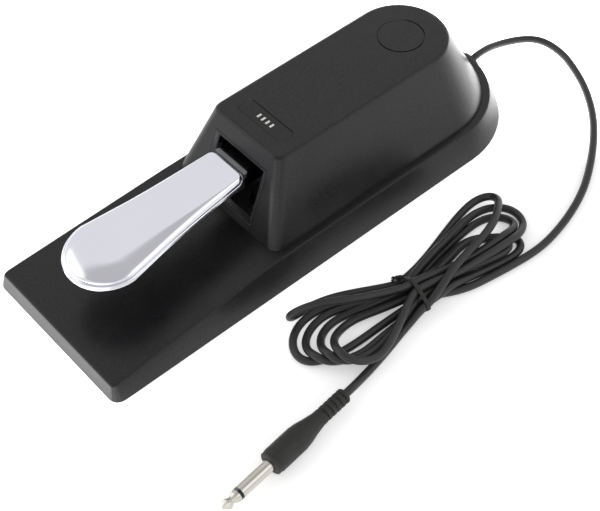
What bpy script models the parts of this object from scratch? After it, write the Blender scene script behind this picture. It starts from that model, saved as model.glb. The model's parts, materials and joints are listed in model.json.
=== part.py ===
"""Piano-style sustain pedal: weighted base, tapered housing, sprung chrome pedal, cord and jack plug.

Frame: metres, +Z up, +Y towards the rear where the cord leaves, the pedal's nose points to -Y.
The origin lies under the middle of the base, on the floor.
"""
import math

import bpy
from mathutils import Matrix, Vector

MM = 0.001

# ---------------------------------------------------------------- overall size
BASE_WIDTH = 100 * MM
BASE_LENGTH = 289 * MM
HOUSING_TOP_Z = 62.3 * MM

# ---------------------------------------------------------------- base shell
BASE_LIFT = 1.2 * MM                # the shell's lower edge above the floor
FRONT_CORNER_RADIUS = 5.5 * MM
DECK_FRONT_Z = 10.7 * MM            # deck height at the front edge
DECK_REAR_Z = 17.2 * MM             # deck height from the housing's foot to the rear
DECK_BREAK_Y = -42 * MM             # where the sloping deck becomes level
SIDE_DRAFT = 0.39                   # side and rear walls lean in by this much per unit of height
FRONT_DRAFT = 0.20
SHELL_WALL = 2.5 * MM
DECK_EDGE = 1.0 * MM                # rounding of the deck's rim
FRONT_Y = -BASE_LENGTH / 2
REAR_CENTRE_Y = BASE_LENGTH / 2 - BASE_WIDTH / 2

# ---------------------------------------------------------------- housing
FOOT_HALF_WIDTH = 40.4 * MM
FOOT_FRONT_Y = -37.0 * MM
FOOT_REAR_CENTRE_Y = 93.5 * MM
FOOT_CORNER_RADIUS = 7.0 * MM
TOP_HALF_WIDTH = 25.5 * MM
TOP_FRONT_Y = -20.3 * MM
TOP_REAR_CENTRE_Y = 84.5 * MM
TOP_CORNER_RADIUS = 5.0 * MM
HOUSING_FOOT_Z = DECK_REAR_Z + 0.2 * MM
HOUSING_WALL = 2.5 * MM
TOP_EDGE = 1.6 * MM
WINDOW_HALF_WIDTH = 17.3 * MM
WINDOW_BOTTOM_Z = 24.1 * MM
WINDOW_TOP_Z = 50.6 * MM
WINDOW_BEVEL = 1.5 * MM
BADGE_SIZE = (34.8 * MM, 9.8 * MM)
BADGE_CENTRE_Y = -7.0 * MM
BADGE_DEPTH = 0.8 * MM
RING_CENTRE_Y = 85.3 * MM
RING_RADIUS = 12.4 * MM
RING_GROOVE = 0.7 * MM
HOUSING_POSTS = [(30 * MM, -17 * MM), (-30 * MM, -17 * MM), (30 * MM, 99 * MM), (-30 * MM, 99 * MM)]
BASE_POSTS = [(37 * MM, -122 * MM), (-37 * MM, -122 * MM), (37 * MM, -54 * MM), (-37 * MM, -54 * MM)]
POST_RADIUS = 3.7 * MM
POST_BOTTOM_Z = 4.5 * MM

# ---------------------------------------------------------------- floor side
MAT_THICKNESS = 1.5 * MM
MAT_INSET = 6.0 * MM
PLATE_BOTTOM_Z = 1.7 * MM
PLATE_TOP_Z = 4.2 * MM
PLATE_INSET = 4.2 * MM

# ---------------------------------------------------------------- screws
SCREW_RADIUS = 1.5 * MM
SCREW_HOLE_RADIUS = 1.8 * MM
SCREW_HEAD_RADIUS = 2.8 * MM
SCREW_HEAD_BOTTOM_Z = 0.45 * MM
SCREW_HEAD_TOP_Z = 1.55 * MM

# ---------------------------------------------------------------- pedal
HINGE_Y = 64 * MM
HINGE_Z = 45.5 * MM
PEDAL_SLOPE = 0.055                 # the pedal falls towards its nose
PEDAL_NOSE_Y = -129.5 * MM
NOSE_CENTRE_Y = -107.2 * MM
PEDAL_NOSE_TOP_Z = 45.3 * MM        # top of the cap above the nose's centre
CAP_REAR_Y = -31.2 * MM
CAP_SHEET = 1.2 * MM
CAP_SKIRT = 5.0 * MM
CAP_WIDTHS = [                      # distance from the rear, half width
    (-31.2 * MM, 12.9 * MM), (-36.4 * MM, 13.4 * MM), (-46 * MM, 14.3 * MM), (-56 * MM, 15.1 * MM),
    (-66 * MM, 16.1 * MM), (-76 * MM, 17.3 * MM), (-86 * MM, 18.7 * MM), (-96 * MM, 20.4 * MM),
    (-102 * MM, 21.4 * MM), (-107.2 * MM, 22.2 * MM)]
ARM_STRIP_END_Y = -27.9 * MM
BEAM_HALF_WIDTH = 8.0 * MM
BEAM_TOP_DROP = 3.4 * MM            # below the cap's top line
BEAM_HEIGHT = 11.0 * MM
BEAM_FRONT_Y = -58 * MM
HUB_RADIUS = 8.0 * MM
HUB_HALF_LENGTH = 9.6 * MM
CAP_SCREW_Y = [-100 * MM, -74 * MM]

# ---------------------------------------------------------------- pivot
AXLE_RADIUS = 3.0 * MM
AXLE_HALF_LENGTH = 16.6 * MM
BUSH_BORE = 3.08 * MM
BUSH_RADIUS = 4.5 * MM
BUSH_FLANGE_RADIUS = 6.2 * MM
BRACKET_INSIDE = 11.2 * MM
BRACKET_SHEET = 2.0 * MM
CLIP_GROOVE_X = 13.5 * MM

# ---------------------------------------------------------------- spring and stops
SPRING_Y = 16 * MM
SPRING_COIL_RADIUS = 5.3 * MM
SPRING_WIRE_RADIUS = 0.7 * MM
SPRING_TURNS = 7
SPRING_BOTTOM_Z = 7.0 * MM
SPRING_TOP_Z = 36.1 * MM
LOWER_STOP_Y = -10 * MM
LOWER_STOP_TOP_Z = 28.8 * MM
UPPER_STOP_Y = 10 * MM
UPPER_STOP_BOTTOM_Z = 48.9 * MM

# ---------------------------------------------------------------- switch
SWITCH_LENGTH = 27.8 * MM
SWITCH_HEIGHT = 15.9 * MM
SWITCH_THICKNESS = 10.3 * MM
SWITCH_Y = 37 * MM
SWITCH_BOTTOM_Z = 15.6 * MM
BLADE_PIVOT_Y = 25 * MM
BLADE_PIVOT_Z = 32.5 * MM
BLADE_TIP_Y = 44 * MM
BLADE_TIP_Z = 34.6 * MM
BUTTON_Y = 32 * MM
STAND_TOP_Z = 31.4 * MM
FINGER_Y = 42 * MM                  # the arm's finger that presses the blade
FINGER_Z = 36.5 * MM
FINGER_RADIUS = 1.5 * MM
FINGER_HALF_WIDTH = 2.5 * MM

# ---------------------------------------------------------------- cord and plug
CORD_RADIUS = 2.1 * MM
GROMMET_Z = 8.0 * MM
GROMMET_FLANGE_RADIUS = 5.8 * MM
GROMMET_NECK_RADIUS = 3.0 * MM
PLUG_RADIUS = 6.5 * MM
PLUG_REAR = Vector((119.3 * MM, -61.4 * MM, PLUG_RADIUS))
PLUG_DIRECTION = Vector((0.108, -0.994, 0)).normalized()
JACK_RADIUS = 3.175 * MM            # standard 6.35 mm plug
JACK_EXPOSED = 30.5 * MM
PLUG_BODY_LENGTH = 51.3 * MM
BUNDLE_HEIGHT = 12 * MM

QUARTER_TURN = math.pi / 2


# ================================================================ building blocks
def clear_scene():
    for obj in list(bpy.data.objects):
        bpy.data.objects.remove(obj, do_unlink=True)


def make_material(name, colour, metallic=0.0, roughness=0.5):
    material = bpy.data.materials.new(name)
    material.use_nodes = True
    shader = material.node_tree.nodes["Principled BSDF"]
    shader.inputs["Base Color"].default_value = (*colour, 1.0)
    shader.inputs["Metallic"].default_value = metallic
    shader.inputs["Roughness"].default_value = roughness
    return material


def make_mesh_object(name, points, faces, material):
    mesh = bpy.data.meshes.new(name)
    mesh.from_pydata([tuple(p) for p in points], [], faces)
    mesh.validate()
    mesh.materials.append(material)
    obj = bpy.data.objects.new(name, mesh)
    bpy.context.scene.collection.objects.link(obj)
    return obj


def loft(name, rings, material):
    """One closed solid through rings of equal point count, each running counter-clockwise seen from
    the last ring's side; both ends are closed by a flat face."""
    count = len(rings[0])
    points = [p for ring in rings for p in ring]
    faces = [tuple(reversed(range(count)))]
    for level in range(len(rings) - 1):
        low = level * count
        high = low + count
        for i in range(count):
            j = (i + 1) % count
            faces.append((low + i, low + j, high + j, high + i))
    faces.append(tuple(range(len(points) - count, len(points))))
    return make_mesh_object(name, points, faces, material)


def prism(name, outline, z0, z1, material):
    """Straight extrusion of an outline of (x, y) points given counter-clockwise."""
    return loft(name, [[(x, y, z) for x, y in outline] for z in (z0, z1)], material)


def box(name, low, high, material):
    outline = [(low[0], low[1]), (high[0], low[1]), (high[0], high[1]), (low[0], high[1])]
    return prism(name, outline, low[2], high[2], material)


def revolve(name, profile, origin, axis, material, sides=32):
    """Turned solid: profile is a list of (distance along the axis, radius); it closes on the axis."""
    axis = Vector(axis).normalized()
    turn = axis.to_track_quat("Z", "Y").to_matrix()
    rings = []
    for along, radius in profile:
        ring = []
        for i in range(sides):
            angle = 2 * math.pi * i / sides
            local = Vector((radius * math.cos(angle), radius * math.sin(angle), along))
            ring.append(Vector(origin) + turn @ local)
        rings.append(ring)
    return loft(name, rings, material)


def cylinder(name, start, axis, length, radius, material, sides=32):
    return revolve(name, [(0, radius), (length, radius)], start, axis, material, sides)


def combine(target, tool, operation):
    """Exact Boolean of two closed solids; the tool is used up."""
    modifier = target.modifiers.new("combine", "BOOLEAN")
    modifier.operation = operation
    modifier.solver = "EXACT"
    modifier.object = tool
    graph = bpy.context.evaluated_depsgraph_get()
    result = bpy.data.meshes.new_from_object(target.evaluated_get(graph))
    target.modifiers.clear()
    target.data = result
    bpy.data.objects.remove(tool, do_unlink=True)


def cut(target, tool):
    combine(target, tool, "DIFFERENCE")


def join(target, tool):
    combine(target, tool, "UNION")


def set_origin(obj, point):
    obj.data.transform(Matrix.Translation(-Vector(point)))
    obj.location = point


def smooth(obj, angle=35):
    obj.data.shade_smooth()
    obj.data.set_sharp_from_angle(angle=math.radians(angle))


def smooth_path(points, count):
    """Evenly counted points on a Catmull-Rom curve through the given points."""
    nodes = [Vector(p) for p in points]
    nodes = [2 * nodes[0] - nodes[1]] + nodes + [2 * nodes[-1] - nodes[-2]]
    spans = len(nodes) - 3
    path = []
    for i in range(count):
        place = spans * i / (count - 1)
        span = min(int(place), spans - 1)
        t = place - span
        a, b, c, d = nodes[span:span + 4]
        path.append(0.5 * ((2 * b) + (c - a) * t + (2 * a - 5 * b + 4 * c - d) * t ** 2
                           + (3 * b - a - 3 * c + d) * t ** 3))
    return path


def tube(name, path, radius, material, resolution=3):
    """Round wire or cord along a path, closed at both ends."""
    curve = bpy.data.curves.new(name, "CURVE")
    curve.dimensions = "3D"
    curve.bevel_depth = radius
    curve.bevel_resolution = resolution
    curve.use_fill_caps = True
    spline = curve.splines.new("POLY")
    spline.points.add(len(path) - 1)
    for point, place in zip(spline.points, path):
        point.co = (*place, 1.0)
    curve.materials.append(material)
    obj = bpy.data.objects.new(name, curve)
    bpy.context.scene.collection.objects.link(obj)
    return obj


# ================================================================ plan outlines
def plan_stations(half_width, front_y, rear_centre_y, corner_radius, rear_radius=None, stops=()):
    """Right half of a plan outline from front to rear as (x, y, nx, ny), n pointing outwards: front
    corner arc, straight side with extra stations at the given stops, then a round rear."""
    rear_radius = rear_radius or half_width
    stations = []
    for i in range(5):
        angle = -QUARTER_TURN + QUARTER_TURN * i / 4
        nx, ny = math.cos(angle), math.sin(angle)
        stations.append((half_width - corner_radius + corner_radius * nx,
                         front_y + corner_radius + corner_radius * ny, nx, ny))
    for y in stops:
        stations.append((half_width, y, 1.0, 0.0))
    for i in range(15):
        angle = QUARTER_TURN * i / 15
        nx, ny = math.cos(angle), math.sin(angle)
        stations.append((rear_radius * nx, rear_centre_y + rear_radius * ny, nx, ny))
    return stations


def mirror_ring(right_points, rear_point):
    """Closed counter-clockwise ring from the right half, the rearmost point and the mirrored left."""
    left = [(-x, y, z) for x, y, z in reversed(right_points)]
    return list(right_points) + [rear_point] + left


def striped_solid(name, rings, half_count, material):
    """Solid through rings made by mirror_ring; both end faces are built from strips across X, so
    they may bend along Y."""
    count = 2 * half_count + 1
    points = [p for ring in rings for p in ring]
    faces = []
    for level in range(len(rings) - 1):
        low = level * count
        high = low + count
        for i in range(count):
            j = (i + 1) % count
            faces.append((low + i, low + j, high + j, high + i))
    last = (len(rings) - 1) * count
    for i in range(half_count - 1):
        right_near, right_far = i, i + 1
        left_near, left_far = count - 1 - i, count - 2 - i
        faces.append((right_near, left_near, left_far, right_far))
        faces.append((last + right_near, last + right_far, last + left_far, last + left_near))
    faces.append((half_count - 1, half_count + 1, half_count))
    faces.append((last + half_count - 1, last + half_count, last + half_count + 1))
    return make_mesh_object(name, points, faces, material)


def deck_height(y):
    """Height of the deck's surface: a straight rise to the break, then level."""
    if y >= DECK_BREAK_Y:
        return DECK_REAR_Z
    share = (y - FRONT_Y) / (DECK_BREAK_Y - FRONT_Y)
    return DECK_FRONT_Z + share * (DECK_REAR_Z - DECK_FRONT_Z)


def base_ring(stations, inset, height_of):
    """Ring of the base outline moved inwards by the draft at its own height plus an inset."""
    right = []
    for x, y, nx, ny in stations:
        z = height_of(y)
        lean = max(z - BASE_LIFT, 0.0)
        front_share = FRONT_DRAFT if ny < 0 else SIDE_DRAFT
        right.append((x - nx * (SIDE_DRAFT * lean + inset), y - ny * (front_share * lean + inset), z))
    z = height_of(BASE_LENGTH / 2)
    rear = (0.0, BASE_LENGTH / 2 - SIDE_DRAFT * max(z - BASE_LIFT, 0.0) - inset, z)
    return mirror_ring(right, rear)


def base_plan():
    stops = [-120 * MM, -90 * MM, -60 * MM, DECK_BREAK_Y - 4 * MM, DECK_BREAK_Y, DECK_BREAK_Y + 4 * MM,
             0.0, 45 * MM]
    return plan_stations(BASE_WIDTH / 2, FRONT_Y, REAR_CENTRE_Y, FRONT_CORNER_RADIUS, stops=stops)


def flat_outline(inset, half_width=BASE_WIDTH / 2, front_y=FRONT_Y, rear_centre_y=REAR_CENTRE_Y,
                 corner=FRONT_CORNER_RADIUS):
    """Plan outline as plain (x, y) points, moved inwards by an inset."""
    stations = plan_stations(half_width - inset, front_y + inset, rear_centre_y, corner)
    right = [(x, y) for x, y, nx, ny in stations]
    left = [(-x, y) for x, y in reversed(right)]
    return right + [(0.0, rear_centre_y + half_width - inset)] + left


def housing_ring(share, inset, z):
    """Ring of the housing between its foot (share 0) and its top (share 1)."""
    def blend(low, high):
        return low + (high - low) * share
    stations = plan_stations(blend(FOOT_HALF_WIDTH, TOP_HALF_WIDTH), blend(FOOT_FRONT_Y, TOP_FRONT_Y),
                             blend(FOOT_REAR_CENTRE_Y, TOP_REAR_CENTRE_Y),
                             blend(FOOT_CORNER_RADIUS, TOP_CORNER_RADIUS), stops=[30 * MM])
    right = [(x - nx * inset, y - ny * inset, z) for x, y, nx, ny in stations]
    rear_y = blend(FOOT_REAR_CENTRE_Y, TOP_REAR_CENTRE_Y) + blend(FOOT_HALF_WIDTH, TOP_HALF_WIDTH) - inset
    return mirror_ring(right, (0.0, rear_y, z))


def front_face_y(z):
    """Y of the housing's front face at a height."""
    share = (z - HOUSING_FOOT_Z) / (HOUSING_TOP_Z - HOUSING_FOOT_Z)
    return FOOT_FRONT_Y + share * (TOP_FRONT_Y - FOOT_FRONT_Y)


def pedal_top_z(y):
    """Height of the pedal's top line at rest."""
    return PEDAL_NOSE_TOP_Z + (y - NOSE_CENTRE_Y) * PEDAL_SLOPE


# ================================================================ base and housing
def rear_wall_frame():
    """Centre of the grommet on the rear wall's outer face and the wall's outward normal."""
    centre = Vector((0, BASE_LENGTH / 2 - SIDE_DRAFT * (GROMMET_Z - BASE_LIFT), GROMMET_Z))
    normal = Vector((0, 1, SIDE_DRAFT)).normalized()
    return centre, normal


def build_base_shell(material):
    stations = base_plan()
    half = len(stations)
    rings = [
        base_ring(stations, 0, lambda y: BASE_LIFT),
        base_ring(stations, 0, lambda y: deck_height(y) - DECK_EDGE),
        base_ring(stations, 0.25 * DECK_EDGE, lambda y: deck_height(y) - 0.3 * DECK_EDGE),
        base_ring(stations, DECK_EDGE, deck_height)]
    shell = striped_solid("base_shell", rings, half, material)
    hollow = [
        base_ring(stations, SHELL_WALL, lambda y: BASE_LIFT - 5 * MM),
        base_ring(stations, SHELL_WALL, lambda y: BASE_LIFT),
        base_ring(stations, SHELL_WALL, lambda y: deck_height(y) - SHELL_WALL)]
    cut(shell, striped_solid("base_hollow", hollow, half, material))
    opening = flat_outline(5 * MM, FOOT_HALF_WIDTH, FOOT_FRONT_Y, FOOT_REAR_CENTRE_Y, FOOT_CORNER_RADIUS)
    cut(shell, prism("deck_opening", opening, 10 * MM, 25 * MM, material))
    for x, y in BASE_POSTS:
        ceiling = deck_height(y) - 1.2 * MM
        join(shell, cylinder("post", (x, y, POST_BOTTOM_Z), (0, 0, 1), ceiling - POST_BOTTOM_Z,
                             POST_RADIUS, material, 20))
        cut(shell, cylinder("pilot", (x, y, 0), (0, 0, 1), ceiling - 1.5 * MM, SCREW_HOLE_RADIUS,
                            material, 16))
    centre, normal = rear_wall_frame()
    cut(shell, cylinder("cord_hole", centre - normal * 12 * MM, normal, 20 * MM,
                        GROMMET_NECK_RADIUS + 0.3 * MM, material, 24))
    return shell


def window_ring(half_width, bottom_z, top_z, depth):
    """Rectangle in the plane of the housing's front face, pushed in along Y by a depth."""
    corners = [(-half_width, bottom_z), (-half_width, top_z), (half_width, top_z), (half_width, bottom_z)]
    return [(x, front_face_y(z) + depth, z) for x, z in corners]


def cut_window(cover, material):
    edge = WINDOW_BEVEL + 0.4 * MM
    through = [window_ring(WINDOW_HALF_WIDTH, WINDOW_BOTTOM_Z, WINDOW_TOP_Z, depth)
               for depth in (-8 * MM, 8 * MM)]
    cut(cover, loft("window", through, material))
    bevel = [
        window_ring(WINDOW_HALF_WIDTH + edge, WINDOW_BOTTOM_Z - edge, WINDOW_TOP_Z + edge, -0.4 * MM),
        window_ring(WINDOW_HALF_WIDTH - 0.1 * MM, WINDOW_BOTTOM_Z + 0.1 * MM, WINDOW_TOP_Z - 0.1 * MM,
                    WINDOW_BEVEL + 0.1 * MM)]
    cut(cover, loft("window_bevel", bevel, material))


def rounded_rectangle(width, height, centre_y, radius):
    outline = []
    for quarter, (sx, sy) in enumerate([(1, 1), (-1, 1), (-1, -1), (1, -1)]):
        for i in range(5):
            angle = QUARTER_TURN * (quarter + i / 4)
            outline.append((sx * (width / 2 - radius) + radius * math.cos(angle),
                            centre_y + sy * (height / 2 - radius) + radius * math.sin(angle)))
    return outline


def build_housing_cover(material):
    rise = HOUSING_TOP_Z - HOUSING_FOOT_Z
    edge_share = 1 - TOP_EDGE / rise
    rings = [
        housing_ring(0, 0, HOUSING_FOOT_Z),
        housing_ring(edge_share, 0, HOUSING_TOP_Z - TOP_EDGE),
        housing_ring(1 - 0.45 * TOP_EDGE / rise, 0.12 * TOP_EDGE, HOUSING_TOP_Z - 0.45 * TOP_EDGE),
        housing_ring(1, 0.45 * TOP_EDGE, HOUSING_TOP_Z - 0.12 * TOP_EDGE),
        housing_ring(1, TOP_EDGE, HOUSING_TOP_Z)]
    half = (len(rings[0]) - 1) // 2
    cover = striped_solid("housing_cover", rings, half, material)
    below = -5 * MM / rise
    ceiling_z = HOUSING_TOP_Z - HOUSING_WALL
    hollow = [
        housing_ring(below, HOUSING_WALL, HOUSING_FOOT_Z - 5 * MM),
        housing_ring(1 - HOUSING_WALL / rise, HOUSING_WALL, ceiling_z)]
    cut(cover, striped_solid("housing_hollow", hollow, half, material))
    for x, y in HOUSING_POSTS:
        join(cover, cylinder("post", (x, y, POST_BOTTOM_Z), (0, 0, 1), 33 * MM - POST_BOTTOM_Z,
                             POST_RADIUS, material, 20))
        cut(cover, cylinder("pilot", (x, y, 0), (0, 0, 1), 18 * MM, SCREW_HOLE_RADIUS, material, 16))
    join(cover, cylinder("stop_boss", (0, UPPER_STOP_Y, 54 * MM), (0, 0, 1), 7 * MM, 6 * MM, material, 24))
    cut_window(cover, material)
    recess = rounded_rectangle(*BADGE_SIZE, BADGE_CENTRE_Y, 3 * MM)
    cut(cover, prism("badge_recess", recess, HOUSING_TOP_Z - BADGE_DEPTH, HOUSING_TOP_Z + 2 * MM, material))
    cut_ring_groove(cover, material)
    return cover


def cut_ring_groove(cover, material):
    depth_z = HOUSING_TOP_Z - RING_GROOVE
    ring = cylinder("ring_groove", (0, RING_CENTRE_Y, depth_z), (0, 0, 1), 3 * MM,
                    RING_RADIUS + RING_GROOVE / 2, material, 48)
    cut(ring, cylinder("ring_core", (0, RING_CENTRE_Y, depth_z - 1 * MM), (0, 0, 1), 6 * MM,
                       RING_RADIUS - RING_GROOVE / 2, material, 48))
    cut(cover, ring)


def build_badge_plate(material):
    width, height = BADGE_SIZE
    outline = rounded_rectangle(width - 0.6 * MM, height - 0.6 * MM, BADGE_CENTRE_Y, 2.7 * MM)
    floor_z = HOUSING_TOP_Z - BADGE_DEPTH
    return prism("badge_plate", outline, floor_z + 0.1 * MM, floor_z + 0.55 * MM, material)


# ================================================================ floor side
def build_bottom_plate(material):
    plate = prism("bottom_plate", flat_outline(PLATE_INSET), PLATE_BOTTOM_Z, PLATE_TOP_Z, material)
    for x, y in HOUSING_POSTS + BASE_POSTS:
        cut(plate, cylinder("hole", (x, y, 0), (0, 0, 1), 8 * MM, SCREW_HOLE_RADIUS, material, 16))
    for x, y in inner_screw_places():
        cut(plate, cylinder("hole", (x, y, 0), (0, 0, 1), 8 * MM, SCREW_HOLE_RADIUS, material, 16))
    rear_y = BASE_LENGTH / 2
    cut(plate, box("cord_notch", (-5 * MM, rear_y - 12 * MM, 0), (5 * MM, rear_y, 8 * MM), material))
    return plate


def build_rubber_mat(material):
    mat = prism("rubber_mat", flat_outline(MAT_INSET), 0, MAT_THICKNESS, material)
    for x, y in HOUSING_POSTS + BASE_POSTS + inner_screw_places():
        cut(mat, cylinder("hole", (x, y, -1 * MM), (0, 0, 1), 5 * MM, SCREW_HEAD_RADIUS + 0.6 * MM,
                          material, 20))
    return mat


def inner_screw_places():
    """Screws that hold the pivot bracket, the switch stand and the cord clamp on the plate."""
    return [(0, HINGE_Y - 6 * MM), (0, HINGE_Y + 6 * MM), (15 * MM, SWITCH_Y), (9 * MM, 108 * MM)]


def floor_screw(name, x, y, tip_z, material):
    """Pan-head screw driven upwards, its head in the mat's hole."""
    profile = [(SCREW_HEAD_BOTTOM_Z, SCREW_HEAD_RADIUS - 0.4 * MM),
               (SCREW_HEAD_BOTTOM_Z + 0.4 * MM, SCREW_HEAD_RADIUS), (SCREW_HEAD_TOP_Z, SCREW_HEAD_RADIUS),
               (SCREW_HEAD_TOP_Z, SCREW_RADIUS), (tip_z - 1 * MM, SCREW_RADIUS),
               (tip_z, 0.6 * SCREW_RADIUS)]
    screw = revolve(name, profile, (x, y, 0), (0, 0, 1), material, 16)
    smooth(screw)
    return screw


def build_floor_screws(material):
    corners = ["front_right", "front_left", "rear_right", "rear_left"]
    for corner, (x, y) in zip(corners, HOUSING_POSTS):
        floor_screw("housing_screw_" + corner, x, y, 16.5 * MM, material)
    for corner, (x, y) in zip(corners, BASE_POSTS):
        floor_screw("base_screw_" + corner, x, y, deck_height(y) - 3.2 * MM, material)
    names = ["bracket_screw_front", "bracket_screw_rear", "stand_screw", "clamp_screw"]
    tips = [7.5 * MM, 7.5 * MM, 6.8 * MM, 9.5 * MM]
    for name, (x, y), tip_z in zip(names, inner_screw_places(), tips):
        floor_screw(name, x, y, tip_z, material)


# ================================================================ pedal
def cap_stations():
    """Right half of the pedal's outline from nose to rear, as (x, y, nx, ny)."""
    stations = []
    nose_radius = -(PEDAL_NOSE_Y - NOSE_CENTRE_Y)
    half_width = CAP_WIDTHS[-1][1]
    for i in range(1, 12):
        angle = -QUARTER_TURN + QUARTER_TURN * i / 12
        nx, ny = math.cos(angle), math.sin(angle)
        stations.append((half_width * nx, NOSE_CENTRE_Y + nose_radius * ny, nx, ny))
    for y, x in reversed(CAP_WIDTHS):
        stations.append((x, y, 1.0, 0.0))
    return stations


def nose_drop(y):
    """How far the crowned nose falls below the pedal's straight top line."""
    reach = max(0.0, -98 * MM - y) / (31 * MM)
    return 2.6 * MM * reach ** 2


def cap_ring(stations, inset, drop, crown=0.0):
    """Ring of the cap's outline moved inwards, hanging a drop below the top line."""
    def height(y):
        return pedal_top_z(y) - drop - crown * nose_drop(y)
    right = [(x - nx * inset, y - ny * inset, height(y - ny * inset)) for x, y, nx, ny in stations]
    nose_y = PEDAL_NOSE_Y + inset
    return nose_ring(right, (0.0, nose_y, height(nose_y)))


def nose_ring(right_points, nose_point):
    """Closed counter-clockwise ring: mirrored left half, the foremost point, the right half."""
    left = [(-x, y, z) for x, y, z in reversed(right_points)]
    return left + [nose_point] + list(right_points)


def build_pedal_cap(material):
    stations = cap_stations()
    half = len(stations)
    outer = [
        cap_ring(stations, 0.2 * MM, CAP_SKIRT, 0.3),
        cap_ring(stations, -0.5 * MM, CAP_SKIRT - 0.5 * MM, 0.3),
        cap_ring(stations, 0, CAP_SKIRT - 1.6 * MM, 0.4), cap_ring(stations, 0.3 * MM, 2.2 * MM, 0.7),
        cap_ring(stations, 1.0 * MM, 1.1 * MM, 0.9), cap_ring(stations, 2.4 * MM, 0.4 * MM, 1),
        cap_ring(stations, 5.0 * MM, 0, 1)]
    cap = striped_solid("pedal_cap", outer, half, material)
    inner = [
        cap_ring(stations, CAP_SHEET, CAP_SKIRT + 3 * MM, 0.3), cap_ring(stations, CAP_SHEET, 3.2 * MM, 0.7),
        cap_ring(stations, CAP_SHEET + 1.6 * MM, 1.6 * MM, 1), cap_ring(stations, 5.4 * MM, CAP_SHEET, 1)]
    cut(cap, striped_solid("cap_hollow", inner, half, material))
    slot_z = pedal_top_z(CAP_REAR_Y) - CAP_SHEET - 0.4 * MM
    cut(cap, box("rear_slot", (-11.5 * MM, CAP_REAR_Y - 8 * MM, slot_z - 8 * MM),
                 (11.5 * MM, CAP_REAR_Y + 2 * MM, slot_z), material))
    for y in CAP_SCREW_Y:
        top = pedal_top_z(y)
        join(cap, cylinder("boss", (0, y, top - 4.0 * MM), (0, 0, 1), 3.4 * MM, 3.2 * MM, material, 20))
        cut(cap, cylinder("pilot", (0, y, top - 6 * MM), (0, 0, 1), 4.2 * MM, SCREW_HOLE_RADIUS,
                          material, 16))
    set_origin(cap, (0, HINGE_Y, HINGE_Z))
    smooth(cap, 50)
    return cap


def plate_ring(drop, inset, crown):
    """Ring of the arm's plate, which follows the cap's inside and ends behind the cap."""
    right = [(x - nx * inset, y - ny * inset) for x, y, nx, ny in cap_stations()]
    half = right[-1][0]
    right[-1] = (half, CAP_REAR_Y - 0.4 * MM)
    corner = 2.5 * MM
    for i in range(4):
        angle = QUARTER_TURN * i / 3
        right.append((half - corner + corner * math.cos(angle),
                      ARM_STRIP_END_Y - corner + corner * math.sin(angle)))
    points = [(x, y, pedal_top_z(y) - drop - crown * nose_drop(y)) for x, y in right]
    nose_y = PEDAL_NOSE_Y + inset
    return nose_ring(points, (0.0, nose_y, pedal_top_z(nose_y) - drop - crown * nose_drop(nose_y)))


def build_pedal_arm(material):
    rings = [plate_ring(4.6 * MM, 2.0 * MM, 0.3), plate_ring(3.6 * MM, 2.0 * MM, 0.7),
             plate_ring(1.9 * MM, 4.0 * MM, 1)]
    arm = striped_solid("pedal_arm", rings, (len(rings[0]) - 1) // 2, material)
    for y in CAP_SCREW_Y:
        cut(arm, cylinder("boss_hole", (0, y, 30 * MM), (0, 0, 1), 30 * MM, 3.6 * MM, material, 20))
    beam = []
    sections = [(BEAM_FRONT_Y, 3.0 * MM, 3 * MM), (BEAM_FRONT_Y + 14 * MM, 3.0 * MM, BEAM_HEIGHT),
                (HINGE_Y, BEAM_TOP_DROP, BEAM_HEIGHT)]
    w = BEAM_HALF_WIDTH
    for y, top_drop, height in sections:
        top = pedal_top_z(y) - top_drop
        bottom = pedal_top_z(y) - BEAM_TOP_DROP - height
        beam.append([(-w, y, top), (w, y, top), (w, y, bottom), (-w, y, bottom)])
    join(arm, loft("beam", beam, material))
    join(arm, rear_strip(material))
    join(arm, cylinder("hub", (-HUB_HALF_LENGTH, HINGE_Y, HINGE_Z), (1, 0, 0), 2 * HUB_HALF_LENGTH,
                       HUB_RADIUS, material, 32))
    cut(arm, cylinder("hub_bore", (-20 * MM, HINGE_Y, HINGE_Z), (1, 0, 0), 40 * MM,
                      BUSH_RADIUS + 0.05 * MM, material, 32))
    bottom = pedal_top_z(SPRING_Y) - BEAM_TOP_DROP - BEAM_HEIGHT
    join(arm, cylinder("spring_pilot", (0, SPRING_Y, bottom - 3 * MM), (0, 0, 1), 6 * MM, 3.4 * MM,
                       material, 20))
    join_finger(arm, material)
    set_origin(arm, (0, HINGE_Y, HINGE_Z))
    smooth(arm, 40)
    return arm


def join_finger(arm, material):
    """Round-ended finger under the beam that presses the switch's blade."""
    w = FINGER_HALF_WIDTH
    join(arm, box("finger", (-w, FINGER_Y - FINGER_RADIUS, FINGER_Z),
                  (w, FINGER_Y + FINGER_RADIUS, FINGER_Z + 5 * MM), material))
    join(arm, cylinder("finger_end", (-w, FINGER_Y, FINGER_Z), (1, 0, 0), 2 * w, FINGER_RADIUS, material, 20))


def rear_strip(material):
    """Raised end of the plate, level with the cap, with rounded rear corners."""
    half, corner = 11.6 * MM, 2.5 * MM
    front_y = CAP_REAR_Y + 0.35 * MM
    outline = [(-half, front_y), (half, front_y)]
    for i in range(4):
        angle = QUARTER_TURN * i / 3
        outline.append((half - corner + corner * math.cos(angle),
                        ARM_STRIP_END_Y - corner + corner * math.sin(angle)))
    for i in range(4):
        angle = QUARTER_TURN * (1 + i / 3)
        outline.append((-half + corner + corner * math.cos(angle),
                        ARM_STRIP_END_Y - corner + corner * math.sin(angle)))
    rings = [[(x, y, pedal_top_z(y) - drop) for x, y in outline] for drop in (3.4 * MM, 0.5 * MM)]
    return loft("rear_strip", rings, material)


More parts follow.
